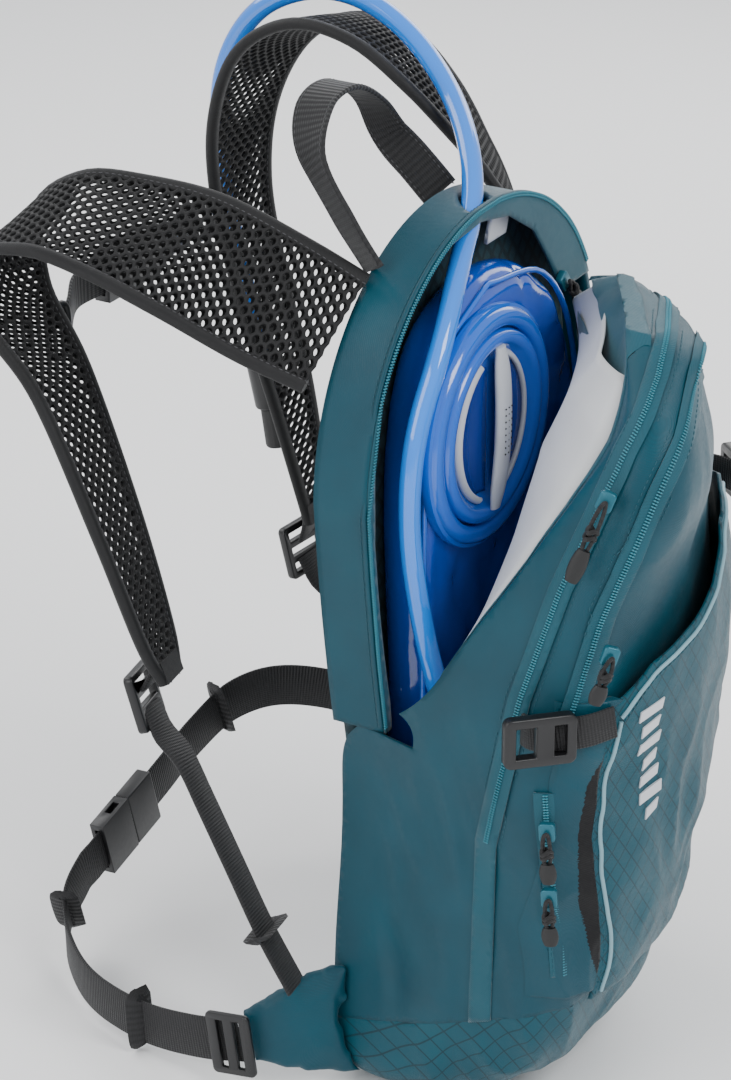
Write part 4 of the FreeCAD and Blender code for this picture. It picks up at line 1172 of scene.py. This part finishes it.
def cord_pull(zipper):
    """A doubled cord from the slider, knotted, with a moulded tab at its end."""
    node, body = zipper + "_pull", body_of(zipper + "_pull")
    points = [v.co.copy() for v in frame["nodes"][node].data.vertices]
    low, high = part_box(zipper + "_slider")
    slider = (low + high) / 2
    end = max(points, key=lambda p: (p - slider).length)
    reach = max((p - end).length for p in points)
    close = [p for p in points if (p - end).length > reach - 0.004]
    start = sum(close, Vector()) / len(close)
    far = [p for p in points if (p - start).length > reach - 0.006]
    end = sum(far, Vector()) / len(far)
    run = (end - start).normalized()
    middle = sum(points, Vector()) / len(points)
    thin = min((Vector((1, 0, 0)), Vector((0, 1, 0)), Vector((0, 0, 1)), Vector((0.8, 0.6, 0)),
                Vector((0.93, 0.3, 0)), Vector((0.95, 0.3, 0))),
               key=lambda w: max(abs((p - middle).dot(w - run * w.dot(run))) for p in points) / (
                   (w - run * w.dot(run)).length + 1e-6))
    up = (thin - run * thin.dot(run)).normalized()
    side = run.cross(up).normalized()
    length = (end - start).length
    loop = []
    for t in circle(40):
        loop.append(start + run * (length * (0.34 - 0.34 * math.cos(t))) + side * (1.9 * MM * math.sin(t))
                    + up * (0.5 * MM * math.sin(3 * t)))
    cord = rope(zipper + "_pull_cord", loop, 1.05, ELASTIC, body, True, 8)
    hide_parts(node)
    for k, share in enumerate((0.36, 0.44)):
        knot = [start + run * (length * share) + side * (2.4 * MM * math.cos(a))
                + up * (1.9 * MM * math.sin(a)) + run * (1.1 * MM * math.sin(2 * a)) for a in circle(20)]
        rope("%s_pull_knot_%d" % (zipper, k), knot, 1.2, ELASTIC, body, True, 8)
    marks = [0.6 + 0.4 * j / 12 for j in range(13)]
    tab = [start + run * (length * m) for m in marks]
    shapes = [oval(8.6 * math.sin(math.pi * (0.16 + 0.68 * j / 12)) ** 0.5, 3.6, 16) for j in range(13)]
    loft(zipper + "_pull_tab", tab, [(side, up)] * 13, shapes, RUBBER, body)
    groove = [tab[3 + j] + up * (1.75 * MM) for j in range(7)]
    rope(zipper + "_pull_ridge", groove, 0.7, PLASTIC, body)


for zipper in ("reservoir", "main", "pocket", "side_upper", "side_lower"):
    moulded_part(zipper + "_slider", ZIP_METAL, 0.6)
    cord_pull(zipper)


HOOK_TABS = {"left": [(-113, -112, 2), (-120, -122, 4), (-119, -134, 6), (-111, -147, 8), (-99, -156, 10)],
             "right": [(117, -78, 44), (120, -96, 45), (117, -112, 46), (108, -124, 46), (97, -131, 46)]}
for label, route in HOOK_TABS.items():
    webbing("hook_tab_" + label, Ribbon(route, [(0.05, 0, 1)] * 5), 17, 1.8, WEBBING)


# ---------- edges, seams, piping and badge

sleeve_line = traced(tree_of("reservoir_zip_front_cloth"), SLEEVE_ROWS, 185, 40, (0, 0), 2.5)
side_tree = tree_of("side_zip_cloth")
FAR_LEFT, FAR_FRONT, RIGHTWARD = -200, -260, Vector((1, 0, 0))
side_hits = [ray_hit(side_tree, mm((FAR_LEFT, depth_at(SIDE_ZIP_ROWS, -110, z), z)), RIGHTWARD)
             for z in range(-136, -30, 3)]
side_line = [hit for hit in side_hits if hit]
rear_tree = tree_of("rear_shell_cloth")
REAR_ZIP_DEPTH, ARCH_HEIGHT = -27.5, 97
arch_ways = [Vector((math.cos(math.radians(a)), 0, math.sin(math.radians(a)))) for a in range(168, 27, -2)]
arch_hits = [ray_hit(rear_tree, mm((0, REAR_ZIP_DEPTH, ARCH_HEIGHT)) + way * 0.2, -way) for way in arch_ways]
low_hits = [ray_hit(rear_tree, mm((FAR_LEFT, REAR_ZIP_DEPTH, z)), RIGHTWARD)
            for z in range(-24, ARCH_HEIGHT, 4)]
rear_line = [hit for hit in low_hits if hit] + [hit for hit in arch_hits if hit][7:]
for name, line in (("reservoir_front_zip_teeth", sleeve_line), ("side_zip_teeth", side_line)):
    if len(line) > 3:
        zip_teeth(name, line)
if len(rear_line) > 3:
    edge = [(p + Vector((0, -4.6, 0)) * MM, Vector((0, -1, 0))) for p, _ in rear_line]
    zip_teeth("reservoir_rear_zip_teeth", edge)
    rope("rear_shell_piping", [p + Vector((0, -2.4, 0)) * MM for p, _ in rear_line], 1.5, SHELL)
    seam("rear_shell_stitches", rear_line, 0.0, rear_tree)
for name, line, shift in (("main_seam_in", main_line, 7.5), ("main_seam_out", main_line, -7.5),
                          ("pocket_seam_in", pocket_line, 7.5), ("pocket_seam_out", pocket_line, -7.5),
                          ("side_seam_in", side_line, 7.0), ("side_seam_out", side_line, -7.0)):
    if len(line) > 3:
        seam(name, line, shift, front_tree)

stash_tree = tree_of("stash_panel_cloth")


def on_stash(x, z, lift):
    return ray_hit(stash_tree, mm((x, FAR_FRONT, z)), Vector((0, 1, 0)), lift)


EDGE_TOP = [(-94, 10), (-78, 29), (-40, 45), (0, 71), (32, 79), (60, 67), (86, 53)]
EDGE_SIDE = [(-94, 8), (-96, -20), (-95, -55), (-89, -95), (-82, -128), (-80, -168)]


def edge_line(edge):
    return [hit for hit in (on_stash(p.x, p.y, 0.4) for p in smooth([Vector(e) for e in edge], 8)) if hit]


top_edge, side_edge = edge_line(EDGE_TOP), edge_line(EDGE_SIDE)
for name, line in (("stash_top_piping", top_edge), ("stash_side_piping", side_edge)):
    rope(name, [p for p, _ in line], 1.1, PALE)
    seam(name + "_stitches", line, 3.4, stash_tree)


def badge():
    """Seven plain slanted bars, raised a little from the cloth, beside the pocket's edge."""
    verts, faces = [], []
    for k, (tall, wide) in enumerate(((6, 15), (6, 12), (6, 15), (6, 10), (6, 13), (6, 15), (6, 9))):
        middle_x, middle_z = -76 + k * 2.2, 8 - k * 10.2
        corners = [(-wide / 2, tall / 2 - 1.6), (wide / 2, tall / 2 + 1.6), (wide / 2, -tall / 2 + 1.6),
                   (-wide / 2, -tall / 2 - 1.6)]
        rows = []
        for lift in (0.75, -0.4):
            ring = [on_stash(middle_x + a, middle_z + b, lift) for a, b in corners]
            if None in ring:
                break
            rows.append([p for p, _ in ring])
        if len(rows) < 2:
            continue
        first = len(verts)
        verts += rows[0] + rows[1]
        faces += [[first, first + 1, first + 2, first + 3], [first + 7, first + 6, first + 5, first + 4]]
        faces += [[first + j, first + 4 + j, first + 4 + (j + 1) % 4, first + (j + 1) % 4] for j in range(4)]
    piece = new_piece("badge_bars", verts, faces, SILVER)
    clean(piece)
    piece.data.shade_flat()


badge()
